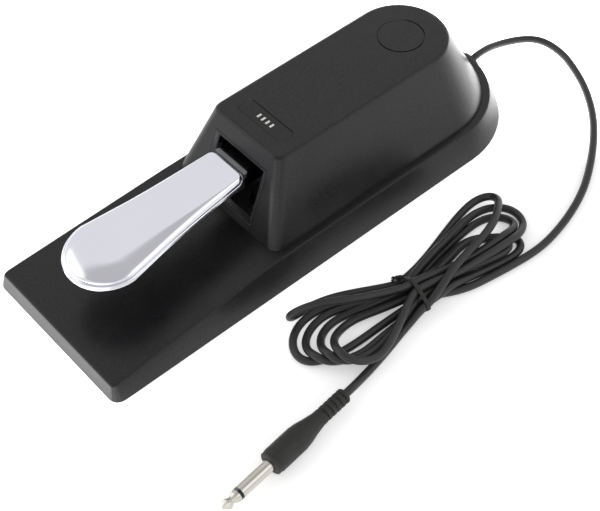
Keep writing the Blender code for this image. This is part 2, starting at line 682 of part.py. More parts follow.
def build_cap_screws(material):
    for name, y in zip(["cap_screw_front", "cap_screw_rear"], CAP_SCREW_Y):
        top = pedal_top_z(y)
        profile = [(top - 6.4 * MM, 3.8 * MM), (top - 6.0 * MM, 4.4 * MM), (top - 4.95 * MM, 4.4 * MM),
                   (top - 4.95 * MM, SCREW_RADIUS), (top - 2.2 * MM, SCREW_RADIUS)]
        screw = revolve(name, profile, (0, y, 0), (0, 0, 1), material, 20)
        set_origin(screw, (0, HINGE_Y, HINGE_Z))
        smooth(screw)


# ================================================================ pivot
def build_pivot(steel, nylon):
    bracket = box("pivot_bracket", (-14 * MM, HINGE_Y - 10 * MM, 4.4 * MM),
                  (14 * MM, HINGE_Y + 10 * MM, 4.4 * MM + BRACKET_SHEET), steel)
    for side in (-1, 1):
        inner, outer = sorted([side * BRACKET_INSIDE, side * (BRACKET_INSIDE + BRACKET_SHEET)])
        cheek = [(inner, HINGE_Y - 8 * MM), (outer, HINGE_Y - 8 * MM), (outer, HINGE_Y + 8 * MM),
                 (inner, HINGE_Y + 8 * MM)]
        join(bracket, prism("cheek", cheek, 5 * MM, HINGE_Z, steel))
        join(bracket, cylinder("cheek_top", (inner, HINGE_Y, HINGE_Z), (1, 0, 0), BRACKET_SHEET, 8 * MM,
                               steel, 32))
    cut(bracket, cylinder("axle_hole", (-20 * MM, HINGE_Y, HINGE_Z), (1, 0, 0), 40 * MM,
                          AXLE_RADIUS + 0.08 * MM, steel, 32))
    for x, y in inner_screw_places()[:2]:
        cut(bracket, cylinder("hole", (x, y, 0), (0, 0, 1), 10 * MM, SCREW_HOLE_RADIUS, steel, 16))
    groove = CLIP_GROOVE_X
    end = AXLE_HALF_LENGTH
    profile = [(-end, 2.6 * MM), (-end + 0.4 * MM, 3 * MM), (-groove - 1 * MM, 3 * MM),
               (-groove - 1 * MM, 2.4 * MM), (-groove, 2.4 * MM), (-groove, 3 * MM), (groove, 3 * MM),
               (groove, 2.4 * MM), (groove + 1 * MM, 2.4 * MM), (groove + 1 * MM, 3 * MM),
               (end - 0.4 * MM, 3 * MM), (end, 2.6 * MM)]
    smooth(revolve("pivot_axle", profile, (0, HINGE_Y, HINGE_Z), (1, 0, 0), steel, 32))
    for side, word in [(-1, "left"), (1, "right")]:
        build_bush("pivot_bush_" + word, side, nylon)
        build_clip("axle_clip_" + word, side, steel)


def build_bush(name, side, material):
    start = (side * 3 * MM, HINGE_Y, HINGE_Z)
    profile = [(0, BUSH_RADIUS), (6.7 * MM, BUSH_RADIUS), (6.7 * MM, BUSH_FLANGE_RADIUS),
               (7.9 * MM, BUSH_FLANGE_RADIUS)]
    bush = revolve(name, profile, start, (side, 0, 0), material, 32)
    cut(bush, cylinder("bore", (-20 * MM, HINGE_Y, HINGE_Z), (1, 0, 0), 40 * MM, BUSH_BORE, material, 32))
    set_origin(bush, (0, HINGE_Y, HINGE_Z))
    smooth(bush)


def build_clip(name, side, material):
    start = (side * (CLIP_GROOVE_X + 0.15 * MM), HINGE_Y, HINGE_Z)
    clip = cylinder(name, start, (side, 0, 0), 0.7 * MM, 5 * MM, material, 32)
    cut(clip, cylinder("clip_bore", (-20 * MM, HINGE_Y, HINGE_Z), (1, 0, 0), 40 * MM, 2.5 * MM, material, 32))
    cut(clip, box("clip_mouth", (-30 * MM, HINGE_Y - 1.6 * MM, HINGE_Z - 8 * MM),
                  (30 * MM, HINGE_Y + 1.6 * MM, HINGE_Z - 1 * MM), material))
    smooth(clip)


# ================================================================ spring and stops
def build_spring(steel, plastic):
    steps = SPRING_TURNS * 14
    path = []
    for i in range(steps + 1):
        share = i / steps
        angle = 2 * math.pi * SPRING_TURNS * share
        path.append((SPRING_COIL_RADIUS * math.cos(angle), SPRING_Y + SPRING_COIL_RADIUS * math.sin(angle),
                     SPRING_BOTTOM_Z + share * (SPRING_TOP_Z - SPRING_BOTTOM_Z)))
    tube("return_spring", path, SPRING_WIRE_RADIUS, steel, 2)
    cup = cylinder("spring_cup", (0, SPRING_Y, 4.4 * MM), (0, 0, 1), 5 * MM, 8.6 * MM, plastic, 32)
    cut(cup, cylinder("cup_hollow", (0, SPRING_Y, 6.0 * MM), (0, 0, 1), 8 * MM, 6.5 * MM, plastic, 32))
    smooth(cup)


def build_stops(plastic, rubber):
    up = (0, 0, 1)
    profile = [(4.4 * MM, 8 * MM), (7 * MM, 8 * MM), (7 * MM, 6 * MM), (22 * MM, 5 * MM)]
    smooth(revolve("lower_stop_post", profile, (0, LOWER_STOP_Y, 0), up, plastic, 28))
    profile = [(22.2 * MM, 4.2 * MM), (LOWER_STOP_TOP_Z - 1 * MM, 4.2 * MM), (LOWER_STOP_TOP_Z, 3.4 * MM)]
    smooth(revolve("lower_stop_pad", profile, (0, LOWER_STOP_Y, 0), up, rubber, 28))
    profile = [(UPPER_STOP_BOTTOM_Z, 4 * MM), (UPPER_STOP_BOTTOM_Z + 1 * MM, 5 * MM), (53.8 * MM, 5 * MM)]
    smooth(revolve("upper_stop_pad", profile, (0, UPPER_STOP_Y, 0), up, rubber, 28))


# ================================================================ switch
def build_switch(plastic, steel, red):
    half_length, half_thick = SWITCH_LENGTH / 2, SWITCH_THICKNESS / 2
    low, high = SWITCH_BOTTOM_Z, SWITCH_BOTTOM_Z + SWITCH_HEIGHT
    body = box("switch_body", (-half_thick, SWITCH_Y - half_length, low),
               (half_thick, SWITCH_Y + half_length, high), plastic)
    for side in (-1, 1):
        lug = sorted([side * 2.4 * MM, side * 3.6 * MM])
        join(body, box("lug", (lug[0], BLADE_PIVOT_Y - 1.4 * MM, high - 1 * MM),
                       (lug[1], BLADE_PIVOT_Y + 1.4 * MM, BLADE_PIVOT_Z + 1 * MM), plastic))
    for y in (SWITCH_Y - 8 * MM, SWITCH_Y + 6 * MM):
        join(body, box("terminal", (-0.4 * MM, y - 2.4 * MM, low - 6 * MM),
                       (0.4 * MM, y + 2.4 * MM, low + 1 * MM), plastic))
    cut(body, box("button_well", (-1.6 * MM, BUTTON_Y - 2.1 * MM, high - 3 * MM),
                  (1.6 * MM, BUTTON_Y + 2.1 * MM, high + 3 * MM), plastic))
    for y, z in switch_screw_places():
        cut(body, cylinder("hole", (-20 * MM, y, z), (1, 0, 0), 40 * MM, 1.5 * MM, plastic, 16))
    button = box("switch_button", (-1.3 * MM, BUTTON_Y - 1.8 * MM, high - 1.9 * MM),
                 (1.3 * MM, BUTTON_Y + 1.8 * MM, high + 1.2 * MM), red)
    set_origin(button, (0, BUTTON_Y, high))
    build_switch_blade(steel)


def build_switch_blade(material):
    start = Vector((0, BLADE_PIVOT_Y, BLADE_PIVOT_Z))
    tip = Vector((0, BLADE_TIP_Y, BLADE_TIP_Z))
    blade = cylinder("switch_blade", start - Vector((2.1 * MM, 0, 0)), (1, 0, 0), 4.2 * MM, 0.9 * MM,
                     material, 20)
    along = (tip - start).normalized()
    up = Vector((0, -along.z, along.y)) * 0.25 * MM
    strip = []
    for x in (-2.1 * MM, 2.1 * MM):
        across = Vector((x, 0, 0))
        strip.append([start + across - up, tip + across - up, tip + across + up, start + across + up])
    join(blade, loft("strip", strip, material))
    join(blade, cylinder("tip", tip - Vector((2.1 * MM, 0, 0)), (1, 0, 0), 4.2 * MM, 0.7 * MM, material, 16))
    set_origin(blade, start)
    smooth(blade)


def switch_screw_places():
    return [(SWITCH_Y - 10.6 * MM, SWITCH_BOTTOM_Z + 2.9 * MM),
            (SWITCH_Y + 11 * MM, SWITCH_BOTTOM_Z + 12.8 * MM)]


def build_switch_stand(plastic, steel):
    inner = SWITCH_THICKNESS / 2 + 0.25 * MM
    front_y, rear_y = SWITCH_Y - 13 * MM, SWITCH_Y + 15 * MM
    stand = box("switch_stand", (inner, front_y, 4.4 * MM), (inner + 3 * MM, rear_y, STAND_TOP_Z), plastic)
    join(stand, box("foot", (inner, front_y, 4.4 * MM), (21 * MM, rear_y, 7.2 * MM), plastic))
    for y in (front_y + 2 * MM, rear_y - 2 * MM):
        near, far, root = y - 1 * MM, y + 1 * MM, inner + 1 * MM
        rings = [[(root, near, z), (x, near, z), (x, far, z), (root, far, z)]
                 for x, z in [(19 * MM, 6 * MM), (inner + 3.2 * MM, 28 * MM)]]
        join(stand, loft("rib", rings, plastic))
    x, y = inner_screw_places()[2]
    cut(stand, cylinder("hole", (x, y, 0), (0, 0, 1), 12 * MM, SCREW_HOLE_RADIUS, plastic, 16))
    for y, z in switch_screw_places():
        cut(stand, cylinder("hole", (0, y, z), (1, 0, 0), 30 * MM, 1.5 * MM, plastic, 16))
    head_x = -SWITCH_THICKNESS / 2
    for name, (y, z) in zip(["switch_screw_front", "switch_screw_rear"], switch_screw_places()):
        profile = [(-1.8 * MM, 2.2 * MM), (-1.5 * MM, 2.6 * MM), (-0.2 * MM, 2.6 * MM), (-0.2 * MM, 1.2 * MM),
                   (13.4 * MM, 1.2 * MM)]
        smooth(revolve(name, profile, (head_x, y, z), (1, 0, 0), steel, 16))


# ================================================================ cord inside the base
def build_inner_cord(cord, plastic, red, black):
    centre, normal = rear_wall_frame()
    neck_end = centre - normal * 4.5 * MM
    grommet = revolve("cord_grommet", [(-4.5 * MM, GROMMET_NECK_RADIUS), (0.2 * MM, GROMMET_NECK_RADIUS),
                                       (0.2 * MM, GROMMET_FLANGE_RADIUS), (1.5 * MM, GROMMET_FLANGE_RADIUS),
                                       (2.0 * MM, GROMMET_FLANGE_RADIUS - 0.5 * MM)],
                      centre, normal, plastic, 32)
    smooth(grommet)
    route = [neck_end - normal * 1.3 * MM, (0, 130 * MM, 6.6 * MM), (0, 120 * MM, 6.6 * MM),
             (0, 110 * MM, 6.6 * MM), (0, 98 * MM, 6.6 * MM)]
    tube("inner_cord", smooth_path(route, 14), CORD_RADIUS, cord)
    clamp = box("cord_clamp", (-6 * MM, 104 * MM, 4.4 * MM), (13 * MM, 112 * MM, 6.2 * MM), plastic)
    join(clamp, cylinder("saddle", (0, 104 * MM, 6.6 * MM), (0, 1, 0), 8 * MM, 4.0 * MM, plastic, 28))
    cut(clamp, box("under", (-10 * MM, 100 * MM, 0), (20 * MM, 116 * MM, 4.4 * MM), plastic))
    cut(clamp, cylinder("cord_way", (0, 100 * MM, 6.6 * MM), (0, 1, 0), 16 * MM, CORD_RADIUS + 0.2 * MM,
                        plastic, 28))
    cut(clamp, box("cord_slot", (-2.3 * MM, 100 * MM, 0), (2.3 * MM, 116 * MM, 6.0 * MM), plastic))
    x, y = inner_screw_places()[3]
    cut(clamp, cylinder("hole", (x, y, 0), (0, 0, 1), 12 * MM, SCREW_HOLE_RADIUS, plastic, 16))
    low = SWITCH_BOTTOM_Z - 6.4 * MM
    lead = [(-1 * MM, 97.2 * MM, 6.6 * MM), (-8 * MM, 90 * MM, 6 * MM), (-17 * MM, 76 * MM, 5.6 * MM),
            (-18 * MM, 58 * MM, 5.6 * MM), (-8 * MM, 46 * MM, 8 * MM), (0, SWITCH_Y + 6 * MM, low - 0.4 * MM)]
    tube("lead_red", smooth_path(lead, 24), 0.7 * MM, red, 2)
    lead = [(-1 * MM, 97.2 * MM, 8.3 * MM), (-9 * MM, 91 * MM, 8 * MM), (-20 * MM, 76 * MM, 6 * MM),
            (-21 * MM, 52 * MM, 5.6 * MM), (-10 * MM, 32 * MM, 7 * MM),
            (0, SWITCH_Y - 8 * MM, low - 0.4 * MM)]
    tube("lead_black", smooth_path(lead, 26), 0.7 * MM, black, 2)


# ================================================================ cord and plug outside
def build_cord_lead(material):
    centre, normal = rear_wall_frame()
    floor_z = CORD_RADIUS + 0.2 * MM
    route = [
        centre + normal * 2.3 * MM, centre + normal * 8 * MM, (-2 * MM, 157 * MM, 7 * MM),
        (-1 * MM, 166 * MM, 3.4 * MM), (5 * MM, 178 * MM, floor_z), (19 * MM, 190 * MM, floor_z),
        (46 * MM, 185 * MM, floor_z), (72 * MM, 166 * MM, floor_z), (94 * MM, 141 * MM, floor_z),
        (109 * MM, 113 * MM, floor_z), (117.5 * MM, 80 * MM, floor_z), (118 * MM, 56 * MM, floor_z),
        (113 * MM, 34 * MM, floor_z),
        (109.5 * MM, 21 * MM, floor_z), (105.6 * MM, 17 * MM, floor_z)]
    tube("cord_lead", smooth_path(route, 44), CORD_RADIUS, material)


def bundle_outline():
    """Bow-tie outline of the folded hank, counter-clockwise, rounded at both ends."""
    knots = [(66, -50), (74, -60), (88, -63), (100, -58), (105.5, -47), (105, -26), (103, -10), (104, 3),
             (102.9, 14), (106, 34), (111.5, 56), (109.5, 70), (100, 80), (86, 84), (76, 82), (75, 70),
             (80, 44), (86.6, 16), (87.7, 6), (84, -8), (74, -27)]
    loop = [Vector((x * MM, y * MM, 0)) for x, y in knots]
    path = smooth_path([loop[-1]] + loop + [loop[0]], 3 * (len(loop) + 1) + 1)
    return [(p.x, p.y) for p in path[3:-3]]


def build_bundle(cord, tie):
    prism("cord_bundle", bundle_outline(), 0.2 * MM, BUNDLE_HEIGHT, cord)
    outer = [(85.6, 4.4), (106.1, 1.4), (106.3, 5.4), (85.6, 9.0)]
    band = prism("bundle_tie", [(x * MM, y * MM) for x, y in outer], 0.05 * MM, BUNDLE_HEIGHT + 2 * MM, tie)
    cut(band, box("tie_way", (86.8 * MM, -20 * MM, 0.15 * MM),
                  (105.0 * MM, 24 * MM, BUNDLE_HEIGHT + 0.8 * MM), tie))


def build_cord_tail(material):
    floor_z = CORD_RADIUS + 0.2 * MM
    start = PLUG_REAR - PLUG_DIRECTION * 0.4 * MM
    route = [start, start - PLUG_DIRECTION * 4 * MM, (117 * MM, -50 * MM, 3.6 * MM),
             (115 * MM, -44 * MM, floor_z), (112 * MM, -37 * MM, floor_z), (107.2 * MM, -31 * MM, floor_z)]
    tube("cord_tail", smooth_path(route, 12), CORD_RADIUS, material)


def build_plug(rubber, nickel, black):
    groove, rib = 3.3 * MM, 3.95 * MM
    profile = [(0, 3.2 * MM), (0.8 * MM, rib)]
    for i in range(5):
        start = (2.2 + 3.1 * i) * MM
        profile += [(start, rib), (start + 0.3 * MM, groove), (start + 1.0 * MM, groove),
                    (start + 1.3 * MM, rib)]
    profile += [(19 * MM, 4.05 * MM), (24 * MM, 4.9 * MM), (29 * MM, 6.0 * MM), (33 * MM, PLUG_RADIUS),
                (48.5 * MM, PLUG_RADIUS), (49 * MM, PLUG_RADIUS - 0.3 * MM),
                (50.8 * MM, PLUG_RADIUS - 0.3 * MM), (PLUG_BODY_LENGTH, PLUG_RADIUS - 1.2 * MM)]
    body = revolve("plug_body", profile, PLUG_REAR, PLUG_DIRECTION, rubber, 28)
    face = PLUG_REAR + PLUG_DIRECTION * PLUG_BODY_LENGTH
    cut(body, cylinder("socket", face - PLUG_DIRECTION * 8 * MM, PLUG_DIRECTION, 12 * MM,
                       JACK_RADIUS + 0.2 * MM, rubber, 28))
    smooth(body)
    sleeve_length = 19.5 * MM
    sleeve = revolve("plug_sleeve", [(-7.6 * MM, JACK_RADIUS), (sleeve_length, JACK_RADIUS)], face,
                     PLUG_DIRECTION, nickel, 28)
    cut(sleeve, cylinder("stem_way", face - PLUG_DIRECTION * 10 * MM, PLUG_DIRECTION, 40 * MM, 1.5 * MM,
                         nickel, 20))
    smooth(sleeve)
    ring_start = face + PLUG_DIRECTION * (sleeve_length + 0.1 * MM)
    ring = cylinder("plug_insulator", ring_start, PLUG_DIRECTION, 1.4 * MM, JACK_RADIUS, black, 28)
    cut(ring, cylinder("ring_bore", ring_start - PLUG_DIRECTION * 2 * MM, PLUG_DIRECTION, 6 * MM, 1.5 * MM,
                       black, 20))
    smooth(ring)
    tip_start = ring_start + PLUG_DIRECTION * 1.5 * MM
    tip = JACK_EXPOSED - sleeve_length - 1.6 * MM
    profile = [(-12 * MM, 1.2 * MM), (0, 1.2 * MM), (0, JACK_RADIUS - 0.05 * MM), (1.6 * MM, 3.05 * MM),
               (3.4 * MM, 1.95 * MM), (4.2 * MM, 1.95 * MM), (6.0 * MM, 2.85 * MM), (6.6 * MM, 2.85 * MM),
               (tip - 0.3 * MM, 0.8 * MM), (tip, 0.4 * MM)]
    smooth(revolve("plug_tip", profile, tip_start, PLUG_DIRECTION, nickel, 28))


# ================================================================ assembly
def main():
    clear_scene()
    black_plastic = make_material("black_plastic", (0.03, 0.03, 0.032), 0.0, 0.5)
    dark_plastic = make_material("dark_plastic", (0.05, 0.05, 0.055), 0.0, 0.4)
    badge_black = make_material("badge_black", (0.04, 0.04, 0.045), 0.0, 0.35)
    chrome = make_material("chrome", (0.85, 0.86, 0.88), 1.0, 0.08)
    grey_metal = make_material("grey_metal", (0.35, 0.35, 0.36), 0.7, 0.45)
    steel = make_material("zinc_steel", (0.55, 0.56, 0.58), 1.0, 0.35)
    nickel = make_material("nickel", (0.8, 0.78, 0.74), 1.0, 0.15)
    nylon = make_material("nylon", (0.8, 0.78, 0.7), 0.0, 0.5)
    rubber = make_material("rubber", (0.02, 0.02, 0.02), 0.0, 0.8)
    cord_vinyl = make_material("cord_vinyl", (0.03, 0.03, 0.03), 0.0, 0.45)
    red_vinyl = make_material("red_vinyl", (0.6, 0.03, 0.02), 0.0, 0.5)
    for obj in (build_base_shell(black_plastic), build_housing_cover(black_plastic)):
        smooth(obj, 30)
    build_badge_plate(badge_black)
    smooth(build_bottom_plate(steel), 30)
    smooth(build_rubber_mat(rubber), 30)
    build_floor_screws(steel)
    build_pedal_cap(chrome)
    build_pedal_arm(grey_metal)
    build_cap_screws(steel)
    build_pivot(steel, nylon)
    build_spring(steel, dark_plastic)
    build_stops(dark_plastic, rubber)
    build_switch(dark_plastic, steel, red_vinyl)
    build_switch_stand(dark_plastic, steel)
    build_inner_cord(cord_vinyl, dark_plastic, red_vinyl, cord_vinyl)
    build_cord_lead(cord_vinyl)
    build_bundle(cord_vinyl, rubber)
    build_cord_tail(cord_vinyl)
    build_plug(rubber, nickel, badge_black)


main()
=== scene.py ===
"""Looks for the sustain pedal: the camera, the studio, a material for every piece, and the pieces that
are modelled here: the cord, its tie, the pedal's plated cap, the return spring's coil, the badge's mark
and the window's bead.

Everything is in metres in the CAD's frame: +Z up, the pedal's nose towards -Y, the cord leaves at +Y.
Tables of places are in millimetres.
"""

import json
import math

import bmesh
import bpy
import numpy as np
from mathutils import Matrix, Vector


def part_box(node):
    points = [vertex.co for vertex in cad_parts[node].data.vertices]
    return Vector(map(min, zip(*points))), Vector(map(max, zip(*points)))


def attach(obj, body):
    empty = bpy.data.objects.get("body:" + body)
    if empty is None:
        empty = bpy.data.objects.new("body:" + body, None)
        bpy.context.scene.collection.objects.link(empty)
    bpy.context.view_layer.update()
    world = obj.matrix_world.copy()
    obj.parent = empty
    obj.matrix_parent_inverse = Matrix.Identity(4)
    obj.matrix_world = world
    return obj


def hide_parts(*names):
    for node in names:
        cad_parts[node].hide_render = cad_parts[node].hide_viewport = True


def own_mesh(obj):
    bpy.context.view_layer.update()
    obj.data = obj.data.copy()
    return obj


MM = 0.001

# ---------------------------------------------------------------- camera
CAMERA_PLACE = Vector((0.3978, -0.3202, 0.5750))
CAMERA_AZIMUTH = math.radians(50.04)
CAMERA_ELEVATION = math.radians(50.74)
CAMERA_ROLL = math.radians(-1.43)
CAMERA_LENS = 86.9
SENSOR_WIDTH = 36.0

# ---------------------------------------------------------------- studio
WORLD_STRENGTH = 0.86
FLOOR_SIZE = 40
FLOOR_GLOW = 0.38                   # what the overexposed floor gives back on top of its own white
SIDE_GLOW = 0.35                    # how much more it gives near the base
FRONT_GLOW = 1.5                    # how much more than that it gives in front of the base
REAR_GLOW = 2.1                     # and behind it
NEAR_FROM, NEAR_TO = 60 * MM, 95 * MM       # sideways from the middle line, where the side glow fades
END_FROM, END_TO = 132 * MM, 152 * MM       # lengthways from the middle, where the end glow comes up
CAMERA_BALL_RADIUS = 28 * MM
CAMERA_BALL_BEHIND = 30 * MM
# Brighter and darker parts of the surroundings, which the chrome mirrors: direction, half width in
# degrees and how much brighter (or, below zero, darker) than the rest they are.
SOFTBOXES = [((-0.67, -0.50, 0.55), 24, 0.7), ((0.62, 0.41, 0.67), 20, 0.65), ((0.45, -0.85, 0.28), 24, 0.45),
             ((0.14, -0.16, 0.98), 37, -0.30)]
SOFTBOX_EDGE = 4                    # half width of a softbox's soft edge, in degrees

# ---------------------------------------------------------------- cord
CORD_RADIUS = 2.1 * MM
CORD_STEP = 2.1 * MM                # spacing of the points that settle
FLOOR_Z = CORD_RADIUS + 0.2 * MM
GROMMET_Z = 8.0 * MM
REAR_WALL_LEAN = 0.39               # the base's rear wall leans in by this much per unit of height
PLUG_REAR = Vector((119.3, -61.4, 6.5)) * MM
PLUG_DIRECTION = Vector((0.108, -0.994, 0)).normalized()

# ---------------------------------------------------------------- tie
TIE_CENTRE = Vector((96.5, 5, 0)) * MM
TIE_SLANT = -0.16                   # the tie crosses the hank at this slope
TIE_LENGTH = 5 * MM
TIE_THICKNESS = 0.8 * MM
TIE_WIDTH = 2.2 * MM

# ---------------------------------------------------------------- pedal
ARM_STRIP_END_Y = -28.7 * MM        # the arm's zinc shows between the cap's rear edge and this line; behind it the arm is painted near black as painted shade
ARM_STRIP_FADE = 0.4 * MM

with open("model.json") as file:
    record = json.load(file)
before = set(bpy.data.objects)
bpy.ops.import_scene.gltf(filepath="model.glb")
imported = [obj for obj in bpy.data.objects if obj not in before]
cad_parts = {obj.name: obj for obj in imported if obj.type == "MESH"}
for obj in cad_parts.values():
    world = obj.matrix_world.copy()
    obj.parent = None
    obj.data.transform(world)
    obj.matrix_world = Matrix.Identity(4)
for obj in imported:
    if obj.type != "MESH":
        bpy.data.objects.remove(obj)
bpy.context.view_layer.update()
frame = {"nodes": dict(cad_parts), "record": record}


# ================================================================ camera, floor and lights
def camera_axes():
    """Right, up and back directions of the camera."""
    azimuth, elevation = CAMERA_AZIMUTH, CAMERA_ELEVATION
    back = Vector((math.sin(azimuth) * math.cos(elevation), -math.cos(azimuth) * math.cos(elevation),
                   math.sin(elevation)))
    level = Vector((math.cos(azimuth), math.sin(azimuth), 0))
    upright = back.cross(level)
    right = math.cos(CAMERA_ROLL) * level + math.sin(CAMERA_ROLL) * upright
    up = math.cos(CAMERA_ROLL) * upright - math.sin(CAMERA_ROLL) * level
    return right, up, back


def make_camera():
    """The photograph's view."""
    data = bpy.data.cameras.new("camera")
    data.lens = CAMERA_LENS
    data.sensor_width = SENSOR_WIDTH
    camera = bpy.data.objects.new("camera", data)
    bpy.context.scene.collection.objects.link(camera)
    right, up, back = camera_axes()
    turn = Matrix((right, up, back)).transposed()
    camera.matrix_world = Matrix.Translation(CAMERA_PLACE) @ turn.to_4x4()
    bpy.context.scene.camera = camera


def make_floor():
    """White floor whose glow keeps it paper white and lights the object's walls from below."""
    bpy.ops.mesh.primitive_plane_add(size=FLOOR_SIZE)
    floor = bpy.context.object
    floor.name = "floor"
    nodes = Nodes(bpy.data.materials.new("floor_white"))
    nodes.shader.inputs["Base Color"].default_value = (0.9, 0.9, 0.9, 1)
    nodes.shader.inputs["Roughness"].default_value = 0.9
    nodes.shader.inputs["Emission Color"].default_value = (1, 1, 1, 1)
    split = nodes.add("ShaderNodeSeparateXYZ")
    nodes.link(nodes.place(), split.inputs["Vector"])
    sideways = nodes.sum(split.outputs["X"], operation="ABSOLUTE")
    near = nodes.map_range(sideways, NEAR_FROM, NEAR_TO, 1, 0)
    front = nodes.map_range(split.outputs["Y"], -END_FROM, -END_TO, SIDE_GLOW, SIDE_GLOW + FRONT_GLOW)
    rear = nodes.map_range(split.outputs["Y"], END_FROM, END_TO, 0, REAR_GLOW)
    around = nodes.sum(front, rear)
    glow = nodes.sum(nodes.sum(near, around, "MULTIPLY"), FLOOR_GLOW)
    nodes.link(glow, nodes.shader.inputs["Emission Strength"])
    floor.data.materials.append(nodes.owner)


def make_camera_body():
    """Dark ball behind the lens, seen only where the chrome mirrors the camera."""
    right, up, back = camera_axes()
    place = CAMERA_PLACE + back * CAMERA_BALL_BEHIND
    bpy.ops.mesh.primitive_uv_sphere_add(radius=CAMERA_BALL_RADIUS, location=place)
    ball = bpy.context.object
    ball.name = "camera_body"
    ball.visible_camera = False
    nodes = Nodes(bpy.data.materials.new("camera_black"))
    nodes.shader.inputs["Base Color"].default_value = (0.01, 0.01, 0.01, 1)
    ball.data.materials.append(nodes.owner)


def make_world():
    """Even white surroundings with a few brighter and darker parts."""
    nodes = Nodes(bpy.data.worlds.new("studio"))
    direction = nodes.add("ShaderNodeTexCoord").outputs["Generated"]
    parts = []
    for towards, half_width, extra in SOFTBOXES:
        dot = nodes.add("ShaderNodeVectorMath", operation="DOT_PRODUCT")
        nodes.link(direction, dot.inputs[0])
        dot.inputs[1].default_value = Vector(towards).normalized()
        outer = math.cos(math.radians(half_width + SOFTBOX_EDGE))
        inner = math.cos(math.radians(half_width - SOFTBOX_EDGE))
        parts.append(nodes.map_range(dot.outputs["Value"], outer, inner, 0, extra))
    light = nodes.sum(parts[0], WORLD_STRENGTH)
    for part in parts[1:]:
        light = nodes.sum(light, part)
    background = nodes.tree.nodes["Background"]
    background.inputs["Color"].default_value = (1, 1, 1, 1)
    nodes.link(light, background.inputs["Strength"])
    bpy.context.scene.world = nodes.owner


def make_studio():
    """Surroundings, floor and the camera's dark body, in plain display colours."""
    bpy.context.scene.view_settings.view_transform = "Standard"
    make_world()
    make_floor()
    make_camera_body()


# ================================================================ materials
INWARDS_FROM, INWARDS_TO = -3 * MM, -6 * MM     # normal's X times place's X, where the painted light on inside faces comes up
METAL_EDGE, PLASTIC_EDGE = 0.15 * MM, 0.2 * MM  # how wide the edges look rounded


class Nodes:
    """Short ways to add the nodes that a material's or the world's detail is made of."""

    def __init__(self, owner):
        self.owner = owner
        self.owner.use_nodes = True
        self.tree = self.owner.node_tree
        self.shader = self.tree.nodes.get("Principled BSDF")

    def add(self, kind, **settings):
        node = self.tree.nodes.new(kind)
        for name, value in settings.items():
            setattr(node, name, value)
        return node

    def link(self, source, target):
        self.tree.links.new(source, target)

    def sum(self, first, second=None, operation="ADD"):
        """Adds a value and another one or a number, or does another operation on them."""
        node = self.add("ShaderNodeMath", operation=operation)
        self.link(first, node.inputs[0])
        if isinstance(second, float):
            node.inputs[1].default_value = second
        elif second is not None:
            self.link(second, node.inputs[1])
        return node.outputs["Value"]

    def place(self):
        return self.add("ShaderNodeTexCoord").outputs["Object"]

    def noise(self, scale, detail=2.0, stretch=(1, 1, 1)):
        """Noise with so many cells to the metre."""
        mapping = self.add("ShaderNodeMapping")
        mapping.inputs["Scale"].default_value = stretch
        self.link(self.place(), mapping.inputs["Vector"])
        noise = self.add("ShaderNodeTexNoise")
        noise.inputs["Scale"].default_value = scale
        noise.inputs["Detail"].default_value = detail
        self.link(mapping.outputs["Vector"], noise.inputs["Vector"])
        return noise.outputs["Fac"]

    def map_range(self, value, low, high, to_low, to_high):
        node = self.add("ShaderNodeMapRange")
        for name, number in (("From Min", low), ("From Max", high), ("To Min", to_low), ("To Max", to_high)):
            node.inputs[name].default_value = number
        self.link(value, node.inputs["Value"])
        return node.outputs["Result"]

    def mix(self, factor, first, second):
        node = self.add("ShaderNodeMix", data_type="RGBA")
        node.inputs["A"].default_value = (*first, 1)
        node.inputs["B"].default_value = (*second, 1)
        self.link(factor, node.inputs["Factor"])
        return node.outputs["Result"]

    def bump(self, height, distance, strength=1.0, under=None):
        node = self.add("ShaderNodeBump")
        node.inputs["Distance"].default_value = distance
        node.inputs["Strength"].default_value = strength
        self.link(height, node.inputs["Height"])
        if under is not None:
            self.link(under, node.inputs["Normal"])
        return node.outputs["Normal"]

    def soft_edges(self, radius):
        node = self.add("ShaderNodeBevel", samples=6)
        node.inputs["Radius"].default_value = radius
        return node.outputs["Normal"]

    def finish(self, colour, roughness, normal=None):
        self.link(colour, self.shader.inputs["Base Color"])
        self.link(roughness, self.shader.inputs["Roughness"])
        if normal is not None:
            self.link(normal, self.shader.inputs["Normal"])
        return self.owner


def facing_inwards(nodes):
    """1 on faces off the middle plane that look towards it, such as the inside of the housing, else 0."""
    sides = []
    for vector in (nodes.add("ShaderNodeNewGeometry").outputs["True Normal"], nodes.place()):
        split = nodes.add("ShaderNodeSeparateXYZ")
        nodes.link(vector, split.inputs["Vector"])
        sides.append(split.outputs["X"])
    return nodes.map_range(nodes.sum(*sides, "MULTIPLY"), INWARDS_FROM, INWARDS_TO, 0, 1)


def moulded_plastic(name, colour, roughness, ior=1.43, inside_painted_light=(0.13, 0.13, 0.14)):
    """Moulded plastic: a fine mottled grain, a slow change of gloss and painted light, a lighter grey, on the
    inside faces.
    """
    nodes = Nodes(bpy.data.materials.new(name))
    nodes.shader.inputs["IOR"].default_value = ior
    grain = nodes.map_range(nodes.noise(1100, 3), 0.35, 0.65, 0, 1)
    tint = nodes.mix(grain, [c * 0.5 for c in colour], [c * 1.7 for c in colour])
    # painted light: faces inside the housing are lightened towards a grey, as if lit
    lit_inside = nodes.mix(facing_inwards(nodes), colour, inside_painted_light)
    nodes.link(tint, lit_inside.node.inputs["A"])
    gloss = nodes.map_range(nodes.noise(45, 4), 0.3, 0.7, roughness - 0.04, roughness + 0.05)
    return nodes.finish(lit_inside, gloss)


